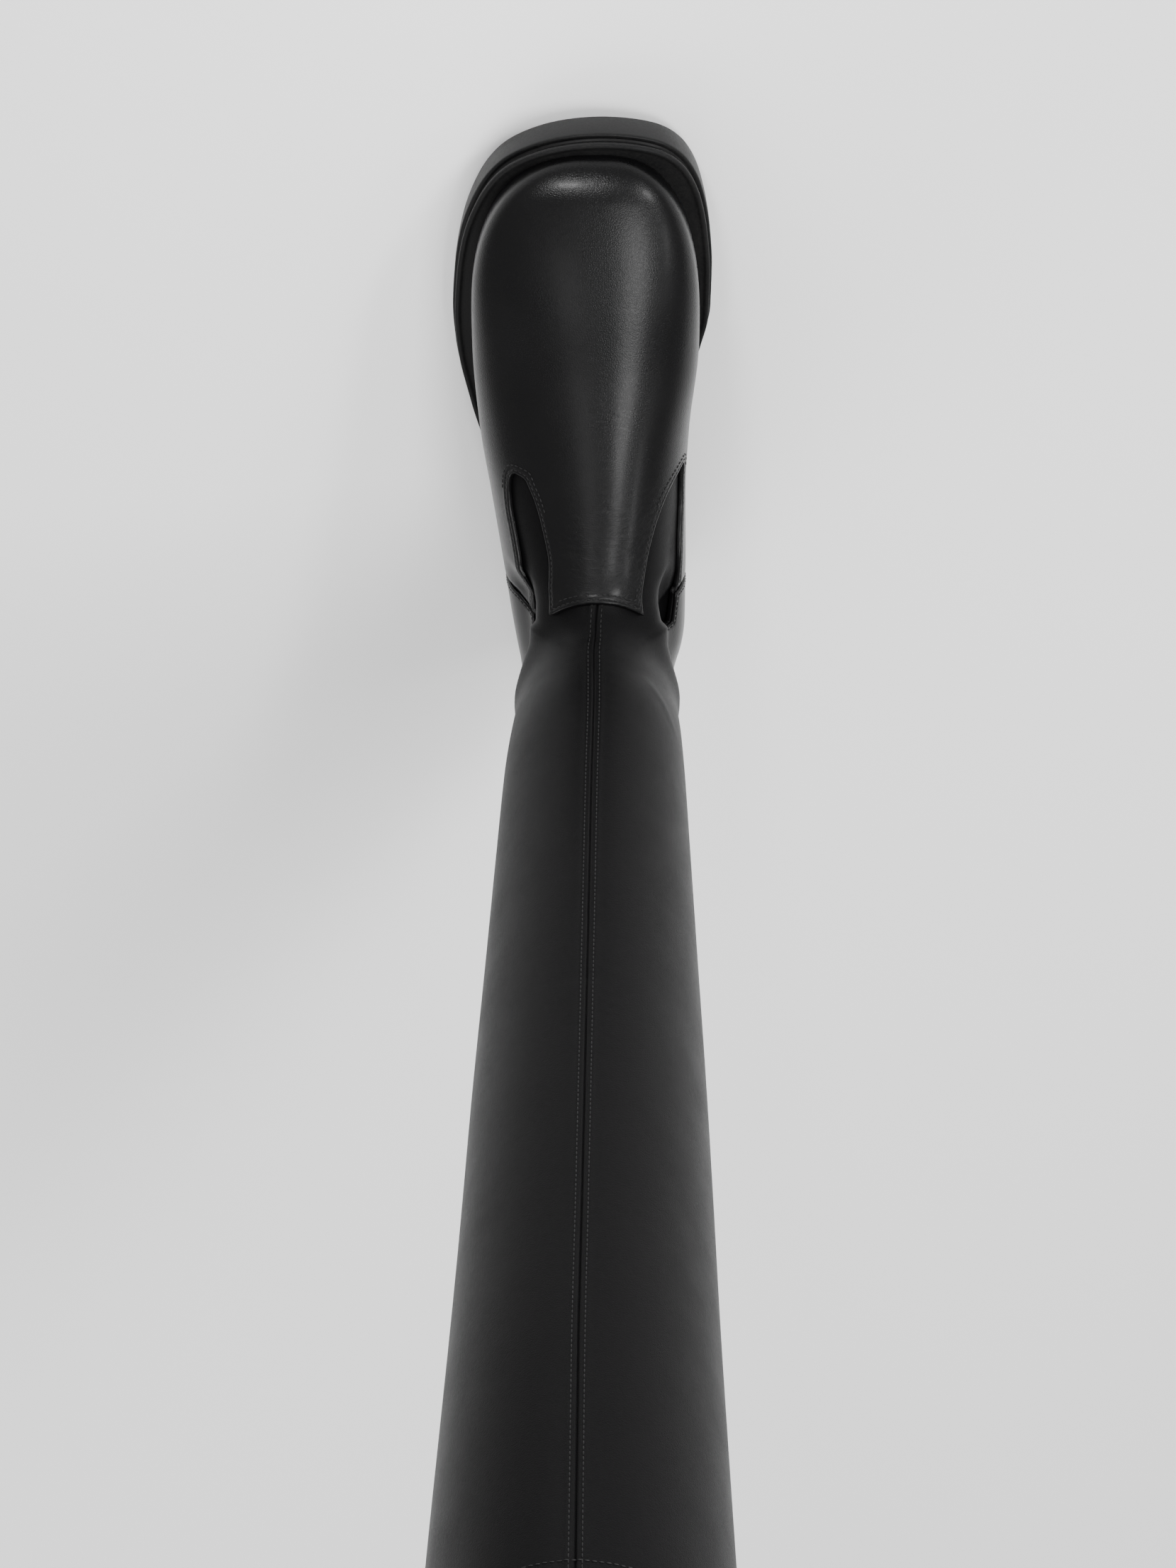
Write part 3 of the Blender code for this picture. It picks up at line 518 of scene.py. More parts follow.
def to_path(points, path):
    """Distance from each point to a path, the nearest place on it, and that place's share of the length."""
    path = np.asarray(path, float)
    start, step = path[:-1], np.diff(path, axis=0)
    length = np.linalg.norm(step, axis=1)
    out = [np.zeros(len(points)), np.zeros((len(points), path.shape[1])), np.zeros(len(points))]
    before = np.concatenate([[0], np.cumsum(length)])
    for first in range(0, len(points), 20000):
        part = slice(first, first + 20000)
        away = points[part, None] - start
        t = np.clip((away * step).sum(2) / length**2, 0, 1)
        gap = np.linalg.norm(away - t[..., None] * step, axis=2)
        k = gap.argmin(1)
        i = np.arange(len(k))
        out[0][part] = gap[i, k]
        out[1][part] = start[k] + t[i, k][:, None] * step[k]
        out[2][part] = (before[k] + t[i, k] * length[k]) / before[-1]
    return out


def inside(points, outline):
    """Even-odd test of points against a closed outline."""
    outline = np.asarray(outline)
    hit = np.zeros(len(points), bool)
    for (y0, z0), (y1, z1) in zip(outline, np.roll(outline, -1, 0)):
        if z0 != z1:
            spans = (points[:, 1] > z0) != (points[:, 1] > z1)
            hit ^= spans & (points[:, 0] < y0 + (points[:, 1] - z0) / (z1 - z0) * (y1 - y0))
    return hit


def surface_distance(skin, outline, lift=0.0):
    """Distance over the leather to an outline drawn in side view, negative inside it."""
    flat = skin.points[:, 1:]
    gap, nearest, _ = to_path(flat, list(outline) + [outline[0]])
    away = (flat - nearest) / np.maximum(gap, 1e-7)[:, None]
    tilt = (skin.normals()[:, 1:] * away).sum(1)
    gap = gap / np.sqrt(np.clip(1 - tilt**2, 0.12, 1))
    return np.where(inside(flat, outline), -gap, gap) + lift


def side_point(share, height):
    return (last_y(share), height * INSTEP_HEIGHT)


def cutout_outline(table, samples):
    """Closed outline of an ankle cut-out, its two edges joined by a round end."""
    start, end = table[0][0], table[-1][0]
    turn = np.linspace(0, math.pi / 2, samples)
    shares = start + (end - start) * (1 - np.cos(turn))
    angle = [(math.acos(1 - (row[0] - start) / (end - start)), row[1], row[2]) for row in table]
    lower = [side_point(s, float(smooth(t, angle, 1))) for s, t in zip(shares, turn)]
    upper = [side_point(s, float(smooth(t, angle, 2))) for s, t in zip(shares, turn)]
    return lower + upper[::-1]


def top_line_outline():
    """Everything above the upper's top line."""
    flap = [side_point(*point) for point in TOP_LINE[:2]]
    quarter = sorted(TOP_LINE[2:])
    back = [side_point(share, float(smooth(share, quarter, 1)))
            for share in np.linspace(TOP_LINE[2][0], TOP_LINE[-1][0], 16)]
    line = flap + back
    return line + [(line[-1][0], CUT_CEILING), (line[0][0], CUT_CEILING)]


def counter_front_outline():
    """Everything in front of the heel counter."""
    table = sorted((height, share) for share, height in COUNTER_EDGE)
    edge = [side_point(float(smooth(height, table, 1)), height)
            for height in np.linspace(COUNTER_EDGE[0][1], COUNTER_EDGE[-1][1], 24)]
    ahead = last_y(0.8)
    return [(edge[0][0], CUT_CEILING)] + edge + [(ahead, edge[-1][1]), (ahead, CUT_CEILING)]


def edge_distance(skin):
    """Distance over the leather to the top line and the ankle cut-outs."""
    x = skin.points[:, 0]
    gap = surface_distance(skin, top_line_outline())
    for table, side in ((LATERAL_CUTOUT, 1), (MEDIAL_CUTOUT, -1)):
        here = surface_distance(skin, cutout_outline(table, 40))
        gap = np.minimum(gap, np.where(x * side > CUT_CLEAR_OF_MIDDLE, here, 1.0))
    return np.clip(gap, -0.02, 0.05)


def station_rows(first, last, foot, shaft):
    """Section rows, close together over the round toe, then foot and shaft rows at their own spacing."""
    toe = TOE_ROWS * np.linspace(0, 1, 40) ** 2.5
    rows = [*toe, *np.arange(TOE_ROWS + 1 / foot, FOOT_ROWS, 1 / foot),
            *np.arange(FOOT_ROWS, LAST_ROW, 1 / shaft)]
    below = [row for row in rows if first <= row <= min(last, LAST_ROW - 0.07)]
    return below + [LAST_ROW - step for step in COLLAR_STEPS if LAST_ROW - step <= last]


# Sheets into closed pieces

def put(name, data):
    """Link a new object with the given data into the scene."""
    item = bpy.data.objects.new(name, data)
    bpy.context.scene.collection.objects.link(item)
    return item


def to_data(name, mesh):
    data = bpy.data.meshes.new(name)
    mesh.to_mesh(data)
    mesh.free()
    return data


def modified_mesh(name, item, *tools):
    """The object's mesh with its modifiers applied. The object and its tools are removed."""
    bpy.context.view_layer.update()
    seen = item.evaluated_get(bpy.context.evaluated_depsgraph_get())
    result = bpy.data.meshes.new_from_object(seen)
    for done in (item, *tools):
        bpy.data.objects.remove(done, do_unlink=True)
    result.name = name
    return result


def add_piece(name, mesh, material, slot, *nodes):
    """Link a finished mesh as a piece of the boot that stands for the named solids."""
    piece = put(name, mesh)
    mesh.materials.clear()
    mesh.materials.append(material)
    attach(piece, "root")
    if nodes:
        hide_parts(*nodes)
    return piece


def shell_mesh(name, skin, outer, inner):
    """Closed leather wall from a sheet's outer and inner places, its edges bridged."""
    count = len(skin.points)
    start, end = skin.faces.reshape(-1), np.roll(skin.faces, -1, 1).reshape(-1)
    forward = set(zip(start.tolist(), end.tolist()))
    rim = np.array([(a, b) for a, b in forward if (b, a) not in forward])
    a, b = rim[:, 0], rim[:, 1]
    sides = np.concatenate([np.stack([b, a, a + count], 1), np.stack([b, a + count, b + count], 1)])
    faces = np.concatenate([skin.faces, skin.faces[:, ::-1] + count, sides])
    mesh = bpy.data.meshes.new(name)
    points = np.concatenate([outer, inner])
    mesh.vertices.add(len(points))
    mesh.vertices.foreach_set("co", points.astype(np.float32).reshape(-1))
    mesh.loops.add(faces.size)
    mesh.loops.foreach_set("vertex_index", faces.astype(np.int32).reshape(-1))
    mesh.polygons.add(len(faces))
    mesh.polygons.foreach_set("loop_start", np.arange(0, faces.size, 3, dtype=np.int32))
    mesh.update(calc_edges=True)
    mesh.validate()
    mesh.shade_smooth()
    mesh.set_sharp_from_angle(angle=math.radians(50))
    return mesh


def lip(distance, radius):
    """How far a cut edge rounds over, from its own distance to the edge."""
    inward = np.clip(radius - distance, 0, radius)
    return radius - np.sqrt(radius**2 - inward**2)


def seam_profile(distance, groove, band):
    """Two turned edges that meet in a groove, with a shallow channel where each side is stitched down."""
    away = np.abs(distance)
    raised = band * ease(away, 0.0002, 0.0009) * (1 - ease(away, 0.0030, 0.0044))
    return raised - groove * bell(away, 0.00042) - 0.4 * band * bell(away - SEAM_COLUMNS[5], CHANNEL_REACH)


def crease(points, path, reach, depth, fade=0.25):
    """A soft trough (or, with a negative depth, a ridge) along a path in space, fading at its ends."""
    gap, _, share = to_path(points, path)
    ends = ease(share, 0, fade) * (1 - ease(share, 1 - fade, 1))
    return -depth * bell(gap, reach) * ends


def ankle_fold(points):
    """The ankle's soft fold: a neck at the upper's top line and a roll of the shaft's leather above it."""
    y, z = points[:, 1], points[:, 2]
    behind = 1 - ease(-y, -FOLD_FRONT - FOLD_FADE, -FOLD_FRONT + FOLD_FADE)
    roll = ROLL_RISE * bell(z - ROLL_HEIGHT, ROLL_REACH)
    return behind * (roll - FOLD_DEPTH * bell(z - FOLD_HEIGHT, FOLD_REACH))


def counter_seat(points):
    """The heel is drawn in under the counter, so that the counter's face runs on from the quarter's."""
    y, z = points[:, 1], points[:, 2]
    table = sorted((height, share) for share, height in COUNTER_EDGE)
    behind = y - last_y(smooth(z / INSTEP_HEIGHT, table, 1))
    below = 1 - ease(z, FOLD_HEIGHT, FOLD_HEIGHT + SEAT_TOP_FADE)
    return -(COUNTER_WALL + GAP) * ease(behind, -SEAT_RAMP - GAP, -GAP) * below


def shaft_offset(points):
    """How far the shaft's outer face lies from the form: under the upper, then out over its top line."""
    y, z = points[:, 1], points[:, 2]
    front = ease(-y, -EMERGE_TURN - FOLD_FADE, -EMERGE_TURN + FOLD_FADE)
    low = EMERGE_SIDE_LOW + front * (EMERGE_FRONT_LOW - EMERGE_SIDE_LOW)
    high = EMERGE_SIDE_HIGH + front * (EMERGE_FRONT_HIGH - EMERGE_SIDE_HIGH)
    neck = NECK_CLEARANCE * (1 - front) * bell(z - FOLD_HEIGHT, FOLD_REACH)
    return (UPPER_WALL + GAP + neck) * (ease((z - low) / (high - low), 0, 1) - 1)


def build_skin(rows, columns):
    """The boot's form as a skin, over the given section rows."""
    grid, across = form_grid(rows, columns)
    grid = soften(grid, rows)
    grid[..., 2] = np.maximum(grid[..., 2], feather_height(grid[..., 1]) + GAP)
    skin = Skin(grid, {"across": across})
    skin.points += skin.normals() * (ankle_fold(skin.points) + counter_seat(skin.points))[:, None]
    return skin


def build_upper_skin(first, last):
    return build_skin(station_rows(first, last, 18, 18), UPPER_COLUMNS)


def foot_rise(points):
    return points[:, 2] - feather_height(points[:, 1])


def edge_relief(edge):
    """The lip, the stitched channel along it and the soft roll of leather that the stitches leave."""
    channel = 0.00026 * bell(edge - STITCH_EDGE, CHANNEL_REACH)
    return 0.00012 * bell(edge - STITCH_ROLL, 0.0006) - lip(edge, LIP_RADIUS) - channel


def build_upper():
    skin = build_upper_skin(0, UPPER_TOP_ROW)
    skin.marks["edge"] = edge_distance(skin)
    for level in UPPER_EDGE_LEVELS:
        skin.split_along("edge", level)
    skin.keep_above("edge", 0.0)
    form, out = skin.points.copy(), skin.normals()
    relief = edge_relief(skin.marks["edge"])
    relief -= 0.0002 * bell(foot_rise(form), 0.0005)
    relief += instep_relief(form)
    outer = form + out * relief[:, None]
    mesh = shell_mesh("upper_leather", skin, outer, form - out * UPPER_WALL)
    second = []
    for run in skin.lines_at("edge", STITCH_SECOND):
        second += parts_where(run, second_row_here(form[run]))
    stitches = [(outer[run], out[run]) for run in skin.lines_at("edge", STITCH_EDGE)]
    stitches += [(outer[run], out[run]) for run in second]
    return mesh, stitches


def parts_where(run, wanted):
    """The parts of a run where a condition holds."""
    parts, part = [], []
    for number, keep in zip(run, wanted):
        if keep:
            part.append(number)
        elif part:
            parts.append(part)
            part = []
    if part:
        parts.append(part)
    return [part for part in parts if len(part) > 3]


def second_row_here(points):
    """The second row of stitches runs along the instep flap and round the low ends of the cut-outs."""
    share = (LAST_BACK - points[:, 1]) / LAST_LENGTH
    height = points[:, 2] / INSTEP_HEIGHT
    flap = (height > 0.93) & (np.abs(points[:, 0]) < 0.017)
    low_end = (share > 0.487) & (height < 0.80)
    return flap | low_end


def instep_relief(points):
    """Shallow hollows that run with the instep, and the soft creases where it bends."""
    relief = np.zeros(len(points))
    for path, reach, depth in INSTEP_CREASES:
        relief += crease(points, np.array(path) * MM, reach * MM, depth * MM)
    return relief


INSTEP_CREASES = (
    # path in millimetres, reach, depth
    (((12, -104, 107), (3, -98, 111), (-8, -100, 109)), 3.0, 0.12),
    (((20, -92, 106), (8, -86, 116), (-6, -86, 117)), 2.6, 0.10),
    (((-26, -96, 96), (-19, -88, 106), (-10, -82, 116)), 2.2, 0.16),
    (((-27, -88, 98), (-20, -80, 108), (-12, -76, 117)), 1.9, 0.14),
    (((-26, -80, 102), (-20, -73, 112), (-13, -70, 119)), 1.7, 0.12),
)


def build_counter():
    skin = build_upper_skin(COUNTER_START_ROW, UPPER_TOP_ROW)
    skin.points += skin.normals() * GAP
    front = surface_distance(skin, counter_front_outline())
    skin.marks["edge"] = np.minimum(edge_distance(skin), front)
    for level in COUNTER_EDGE_LEVELS:
        skin.split_along("edge", level)
    skin.keep_above("edge", 0.0)
    form, out = skin.points.copy(), skin.normals()
    edge = skin.marks["edge"]
    relief = COUNTER_WALL - lip(edge, COUNTER_LIP_RADIUS) - 0.00012 * bell(edge - STITCH_EDGE, CHANNEL_REACH)
    relief -= 0.0005 * bell(foot_rise(form), 0.0011)
    outer = form + out * relief[:, None]
    mesh = shell_mesh("counter_leather", skin, outer, form)
    stitches = [(outer[run], out[run]) for run in skin.lines_at("edge", STITCH_EDGE)]
    return mesh, stitches


SHAFT_FOLDS = (
    # path in millimetres, reach, depth: soft folds of the shaft in the two cut-outs and above the ankle
    (((30, -84, 92), (31, -70, 98), (29, -58, 106)), 4.0, 1.1),
    (((33, -78, 90), (34, -62, 93), (33, -46, 100)), 3.6, -0.8),
    (((-30, -80, 84), (-31, -66, 93), (-29, -52, 104)), 4.0, 1.2),
    (((-31, -68, 82), (-33, -56, 90), (-33, -42, 100)), 3.4, -0.9),
    (((-20, -58, 148), (-29, -42, 162), (-33, -30, 178)), 3.0, -0.25),
)


def build_shaft():
    skin = build_skin(station_rows(SOCK_START_ROW, LAST_ROW, 14, 22), SHAFT_COLUMNS)
    skin.marks["lift"] = foot_rise(skin.points) - SOCK_LIFT
    skin.split_along("lift", 0.0)
    skin.keep_above("lift", 0.0)
    offset = shaft_offset(skin.points)
    for path, reach, depth in SHAFT_FOLDS:
        offset += crease(skin.points, np.array(path) * MM, reach * MM, depth * MM)
    skin.points = skin.points + skin.normals() * offset[:, None]
    form, out = skin.points.copy(), skin.normals()
    across = skin.marks["across"]
    relief = seam_profile(across, SEAM_GROOVE, SEAM_BAND) + shin_relief(form, across)
    collar = BOOT_HEIGHT - form[:, 2]
    relief -= 0.5 * lip(collar, COLLAR_LIP_RADIUS) + 0.00012 * bell(collar - COLLAR_STITCHES, 0.0006)
    outer = form + out * relief[:, None]
    mesh = shell_mesh("shaft_leather", skin, outer, form - out * SHAFT_WALL)
    return mesh, shaft_stitches(skin, outer, out)


def shin_relief(points, across):
    """Small puckers beside the front seam, most at the junction of its two lengths."""
    z = points[:, 2]
    waves = np.sin(2 * math.pi * z / PUCKER_PITCH) * bell(np.abs(across) - 0.0065, 0.0035)
    near = 0.00010 * bell(z - JUNCTION_HEIGHT, 0.030) + 0.000035
    pinch = -0.00030 * bell(z - JUNCTION_HEIGHT, 0.0012) * bell(across, 0.008)
    return near * waves + pinch


def shaft_stitches(skin, outer, out):
    """Rows of stitches each side of the front seam, and one below the collar."""
    rows = []
    on = skin.marks["across"]
    for side in (1, -1):
        column = np.abs(on - side * SEAM_COLUMNS[5]) < 2e-5
        numbers = np.flatnonzero(column & (skin.points[:, 2] > SEAM_STITCHES_START))
        numbers = numbers[np.argsort(skin.points[numbers, 2])]
        rows.append((outer[numbers], out[numbers]))
    ring = np.flatnonzero(np.abs(skin.points[:, 2] - BOOT_HEIGHT + COLLAR_STITCHES) < 0.0016)
    if len(ring) > 8:
        middle = skin.points[ring].mean(0)
        turn = np.arctan2(skin.points[ring, 1] - middle[1], skin.points[ring, 0] - middle[0])
        ring = ring[np.argsort(turn)]
        rows.append((outer[ring], out[ring]))
    return rows


# Stitches

def socket(tree, name, kind, value=None, way="INPUT"):
    item = tree.interface.new_socket(name=name, in_out=way, socket_type=kind)
    if value is not None:
        item.default_value = value
    return item


def stitch_tree():
    """Geometry Nodes: thread stitches laid along lines, each lying on the leather."""
    tree = bpy.data.node_groups.new("stitch rows", "GeometryNodeTree")
    socket(tree, "Geometry", "NodeSocketGeometry")
    socket(tree, "Pitch", "NodeSocketFloat", 0.0026)
    socket(tree, "Stitch length", "NodeSocketFloat", 0.0020)
    socket(tree, "Thread radius", "NodeSocketFloat", 0.0003)
    socket(tree, "Thread", "NodeSocketMaterial")
    socket(tree, "Geometry", "NodeSocketGeometry", way="OUTPUT")
    node, link = tree.nodes.new, tree.links.new
    given = node("NodeGroupInput")
    curve = node("GeometryNodeMeshToCurve")
    spaced_out = node("GeometryNodeResampleCurve")
    spaced_out.mode = "LENGTH"
    link(given.outputs["Geometry"], curve.inputs[0])
    link(curve.outputs[0], spaced_out.inputs["Curve"])
    link(given.outputs["Pitch"], spaced_out.inputs["Length"])
    stitch = node("GeometryNodeMeshUVSphere")
    stitch.inputs["Segments"].default_value = 7
    stitch.inputs["Rings"].default_value = 5
    stitch.inputs["Radius"].default_value = 1.0
    tangent = node("GeometryNodeInputTangent")
    up = node("GeometryNodeInputNamedAttribute")
    up.data_type = "FLOAT_VECTOR"
    up.inputs["Name"].default_value = "up"
    along = node("FunctionNodeAlignRotationToVector")
    along.axis = "X"
    upright = node("FunctionNodeAlignRotationToVector")
    upright.axis, upright.pivot_axis = "Z", "X"
    link(tangent.outputs[0], along.inputs["Vector"])
    link(along.outputs[0], upright.inputs["Rotation"])
    link(up.outputs["Attribute"], upright.inputs["Vector"])
    half = node("ShaderNodeMath")
    half.operation = "MULTIPLY"
    half.inputs[1].default_value = 0.5
    link(given.outputs["Stitch length"], half.inputs[0])
    size = node("ShaderNodeCombineXYZ")
    link(half.outputs[0], size.inputs["X"])
    link(given.outputs["Thread radius"], size.inputs["Y"])
    link(given.outputs["Thread radius"], size.inputs["Z"])
    placed = node("GeometryNodeInstanceOnPoints")
    link(spaced_out.outputs[0], placed.inputs["Points"])
    link(stitch.outputs["Mesh"], placed.inputs["Instance"])
    link(upright.outputs[0], placed.inputs["Rotation"])
    link(size.outputs[0], placed.inputs["Scale"])
    real = node("GeometryNodeRealizeInstances")
    rounded = node("GeometryNodeSetShadeSmooth")
    coloured = node("GeometryNodeSetMaterial")
    out = node("NodeGroupOutput")
    link(placed.outputs[0], real.inputs[0])
    link(real.outputs[0], rounded.inputs[0])
    link(rounded.outputs[0], coloured.inputs["Geometry"])
    link(given.outputs["Thread"], coloured.inputs["Material"])
    link(coloured.outputs[0], out.inputs[0])
    return tree


def build_stitches(name, rows, tree, thread, slot, pitch, length, radius):
    """A mesh of stitches along the given rows of (places, outward directions)."""
    mesh = bpy.data.meshes.new(name + "_lines")
    points, edges, ups = [], [], []
    for places, out in rows:
        edges += [(len(points) + i, len(points) + i + 1) for i in range(len(places) - 1)]
        points += [tuple(p) for p in places + out * radius * 0.35]
        ups += list(out)
    mesh.from_pydata(points, edges, [])
    layer = mesh.attributes.new("up", "FLOAT_VECTOR", "POINT")
    layer.data.foreach_set("vector", np.array(ups, np.float32).reshape(-1))
    lines = put(name + "_lines", mesh)
    modifier = lines.modifiers.new("stitches", "NODES")
    modifier.node_group = tree
    sizes = {"Pitch": pitch, "Stitch length": length, "Thread radius": radius, "Thread": thread}
    for item in tree.interface.items_tree:
        if item.in_out == "INPUT" and item.name in sizes:
            modifier[item.identifier] = sizes[item.name]
    return add_piece(name, modified_mesh(name, lines), thread, slot)


# Sole

def layered_solid(rings):
    """Closed solid from rings of one outline, capped by strips from the lateral to the medial side."""
    mesh = bmesh.new()
    loops = [[mesh.verts.new(point) for point in ring] for ring in rings]
    count = len(loops[0])
    for low, high in zip(loops, loops[1:]):
        for i in range(count):
            j = (i + 1) % count
            mesh.faces.new((low[i], low[j], high[j], high[i]))
    half = count // 2
    for loop in (loops[0], loops[-1]):
        for i in range(half - 1):
            mesh.faces.new((loop[i], loop[i + 1], loop[count - 2 - i], loop[count - 1 - i]))
    bmesh.ops.remove_doubles(mesh, verts=mesh.verts, dist=2e-5)
    bmesh.ops.recalc_face_normals(mesh, faces=mesh.faces)
    return mesh


def finished_mesh(name, mesh, cutters=()):
    """A bmesh with its grooves cut, shaded smooth between sharp edges."""
    item = put(name + "_draft", to_data(name, mesh))
    for cutter in cutters:
        cut = item.modifiers.new("groove", "BOOLEAN")
        cut.operation, cut.solver, cut.object = "DIFFERENCE", "EXACT", cutter
    result = modified_mesh(name, item, *cutters)
    result.shade_smooth()
    result.set_sharp_from_angle(angle=math.radians(32))
    return result


def groove_cutter(share):
    """The block that leaves a straight groove across the tread, closed at its ends."""
    lateral = float(outline_side(share, 1)) - GROOVE_MARGIN
    medial = float(outline_side(share, 2)) - GROOVE_MARGIN
    mesh = bmesh.new()
    bmesh.ops.create_cube(mesh, size=1.0)
    bmesh.ops.scale(mesh, vec=(lateral + medial, GROOVE_WIDTH, 2 * GROOVE_DEPTH), verts=mesh.verts)
    spot = ((lateral - medial) / 2, HEEL_BACK - share * SOLE_LENGTH, 0.0)
    bmesh.ops.translate(mesh, vec=spot, verts=mesh.verts)
    return put("groove", to_data("groove", mesh))


def outsole_mesh():
    shares = outline_shares(0.0, 1.0, 170)
    below = WELT_THICKNESS + MIDSOLE_THICKNESS + 2 * GAP
    turn = np.linspace(0, math.pi / 2, 5)
    levels = [(WALL_DRAFT + EDGE_ROUND * (1 - math.sin(t)), 0.0, EDGE_ROUND * (1 - math.cos(t)))
              for t in turn]
    levels += [(WALL_DRAFT * (1 - up) ** 2, up, EDGE_ROUND * (1 - up) - EDGE_ROUND * up)
               for up in np.linspace(0.12, 0.94, 8)]
    levels += [(EDGE_ROUND * (1 - math.cos(t)), 1.0, -EDGE_ROUND * (1 - math.sin(t))) for t in turn]
    rings = [sole_ring(shares, inset, lambda y, up=up, rise=rise: rise + (1 - up) * underside_height(y)
                       + up * (feather_height(y) - below)) for inset, up, rise in levels]
    return finished_mesh("outsole_rubber", layered_solid(rings), [groove_cutter(s) for s in FOREFOOT_GROOVES])


def heel_mesh():
    shares = outline_shares(0.006, HEEL_BREAST_SHARE, 70)
    turn = np.linspace(0, math.pi / 2, 5)
    levels = [(HEEL_INSET + EDGE_ROUND * (1 - math.sin(t)), EDGE_ROUND * (1 - math.cos(t))) for t in turn]
    levels += [(HEEL_INSET + (WALL_DRAFT - HEEL_INSET) * up,
                EDGE_ROUND + (HEEL_BLOCK_HEIGHT - EDGE_ROUND) * up) for up in (0.3, 0.6, 1.0)]
    rings = [sole_ring(shares, inset, lambda y, z=z: np.full(len(y), z)) for inset, z in levels]
    for ring in rings:
        slope = BREAST_SLOPE * (1 - ring[0, 2] / HEEL_BLOCK_HEIGHT)
        ring[:, 1] += slope * (sole_share(ring[:, 1]) / HEEL_BREAST_SHARE) ** 3
    return finished_mesh("heel_rubber", layered_solid(rings), [groove_cutter(s) for s in HEEL_GROOVES])


def edge_layer(name, below, profile):
    """A layer of the sole's edge from a profile of (inset, rise) in millimetres over its underside."""
    shares = outline_shares(0.0, 1.0, 170)
    rings = [sole_ring(shares, inset * MM, lambda y, rise=rise: feather_height(y) - below + rise * MM)
             for inset, rise in profile]
    return finished_mesh(name, layered_solid(rings))


MIDSOLE_EDGE = (
    # inset, rise
    (2.0, 0.0), (2.3, 0.25), (2.75, 0.8), (2.95, 1.7), (2.75, 2.6), (2.3, 3.15), (2.0, 3.4),
)
WELT_EDGE = (
    (2.3, 0.0), (1.6, 0.12), (1.15, 0.5), (1.0, 1.1), (1.0, 1.9), (1.15, 2.45), (1.5, 2.9), (2.05, 3.18),
    (2.6, 3.2), (3.1, 3.02), (3.5, 2.78), (4.0, 2.64), (5.0, 2.6), (12.0, 2.6),
)


# Finishes

def new_group(name, inputs, outputs):
    tree = bpy.data.node_groups.new(name, "ShaderNodeTree")
    for label, value in inputs:
        socket(tree, label, "NodeSocketFloat", value)
    for label in outputs:
        socket(tree, label, "NodeSocketFloat", way="OUTPUT")
    return tree, tree.nodes.new, tree.links.new


def math_node(node, link, operation, first, second=None, clamp=False):
    item = node("ShaderNodeMath")
    item.operation, item.use_clamp = operation, clamp
    for slot, value in zip(item.inputs, (first, second)):
        if isinstance(value, (int, float)):
            slot.default_value = value
        elif value is not None:
            link(value, slot)
    return item.outputs[0]


def texture(node, link, kind, vector, scale, **values):
    item = node("ShaderNodeTex" + kind)
    link(vector, item.inputs["Vector"])
    if isinstance(scale, (int, float)):
        item.inputs["Scale"].default_value = scale
    else:
        link(scale, item.inputs["Scale"])
    for key, value in values.items():
        label = key.replace("_", " ")
        if label in item.inputs:
            item.inputs[label].default_value = value
        else:
            setattr(item, key, value)
    return item


def use_group(node, tree, **values):
    item = node("ShaderNodeGroup")
    item.node_tree = tree
    for key, value in values.items():
        item.inputs[key.replace("_", " ")].default_value = value
    return item.outputs


def grain_group():
    """Fine leather grain: pebbles with thin lines between them, pores and slow unevenness."""
    tree, node, link = new_group("leather grain", (("Cell scale", 1100.0), ("Pores", 0.5)),
                                 ("Height", "Unevenness"))
    given, out = node("NodeGroupInput"), node("NodeGroupOutput")
    place = node("ShaderNodeTexCoord").outputs["Object"]
    drift = texture(node, link, "Noise", place, 90.0, Detail=3.0)
    bent = node("ShaderNodeVectorMath")
    bent.operation = "MULTIPLY_ADD"
    bent.inputs[1].default_value = (0.0012, 0.0012, 0.0012)
    link(drift.outputs["Color"], bent.inputs[0])
    link(place, bent.inputs[2])
    cells = texture(node, link, "Voronoi", bent.outputs[0], given.outputs["Cell scale"],
                    feature="DISTANCE_TO_EDGE", Randomness=0.95)
    lines = math_node(node, link, "MULTIPLY", cells.outputs["Distance"], 3.2, clamp=True)
    round_cells = texture(node, link, "Voronoi", bent.outputs[0], given.outputs["Cell scale"],
                          feature="SMOOTH_F1", Randomness=0.95, Smoothness=0.6)
    pebble = math_node(node, link, "SUBTRACT", 1.0, round_cells.outputs["Distance"])
    pores = texture(node, link, "Noise", place, 2600.0, Detail=2.0)
    dotted = math_node(node, link, "MULTIPLY", pores.outputs["Fac"], given.outputs["Pores"])
    height = math_node(node, link, "ADD", math_node(node, link, "MULTIPLY", lines, 0.55),
                       math_node(node, link, "MULTIPLY", pebble, 0.45))
    link(math_node(node, link, "SUBTRACT", height, dotted), out.inputs["Height"])
    slow = texture(node, link, "Noise", place, 34.0, Detail=4.0, Roughness=0.55)
    link(slow.outputs["Fac"], out.inputs["Unevenness"])
    return tree


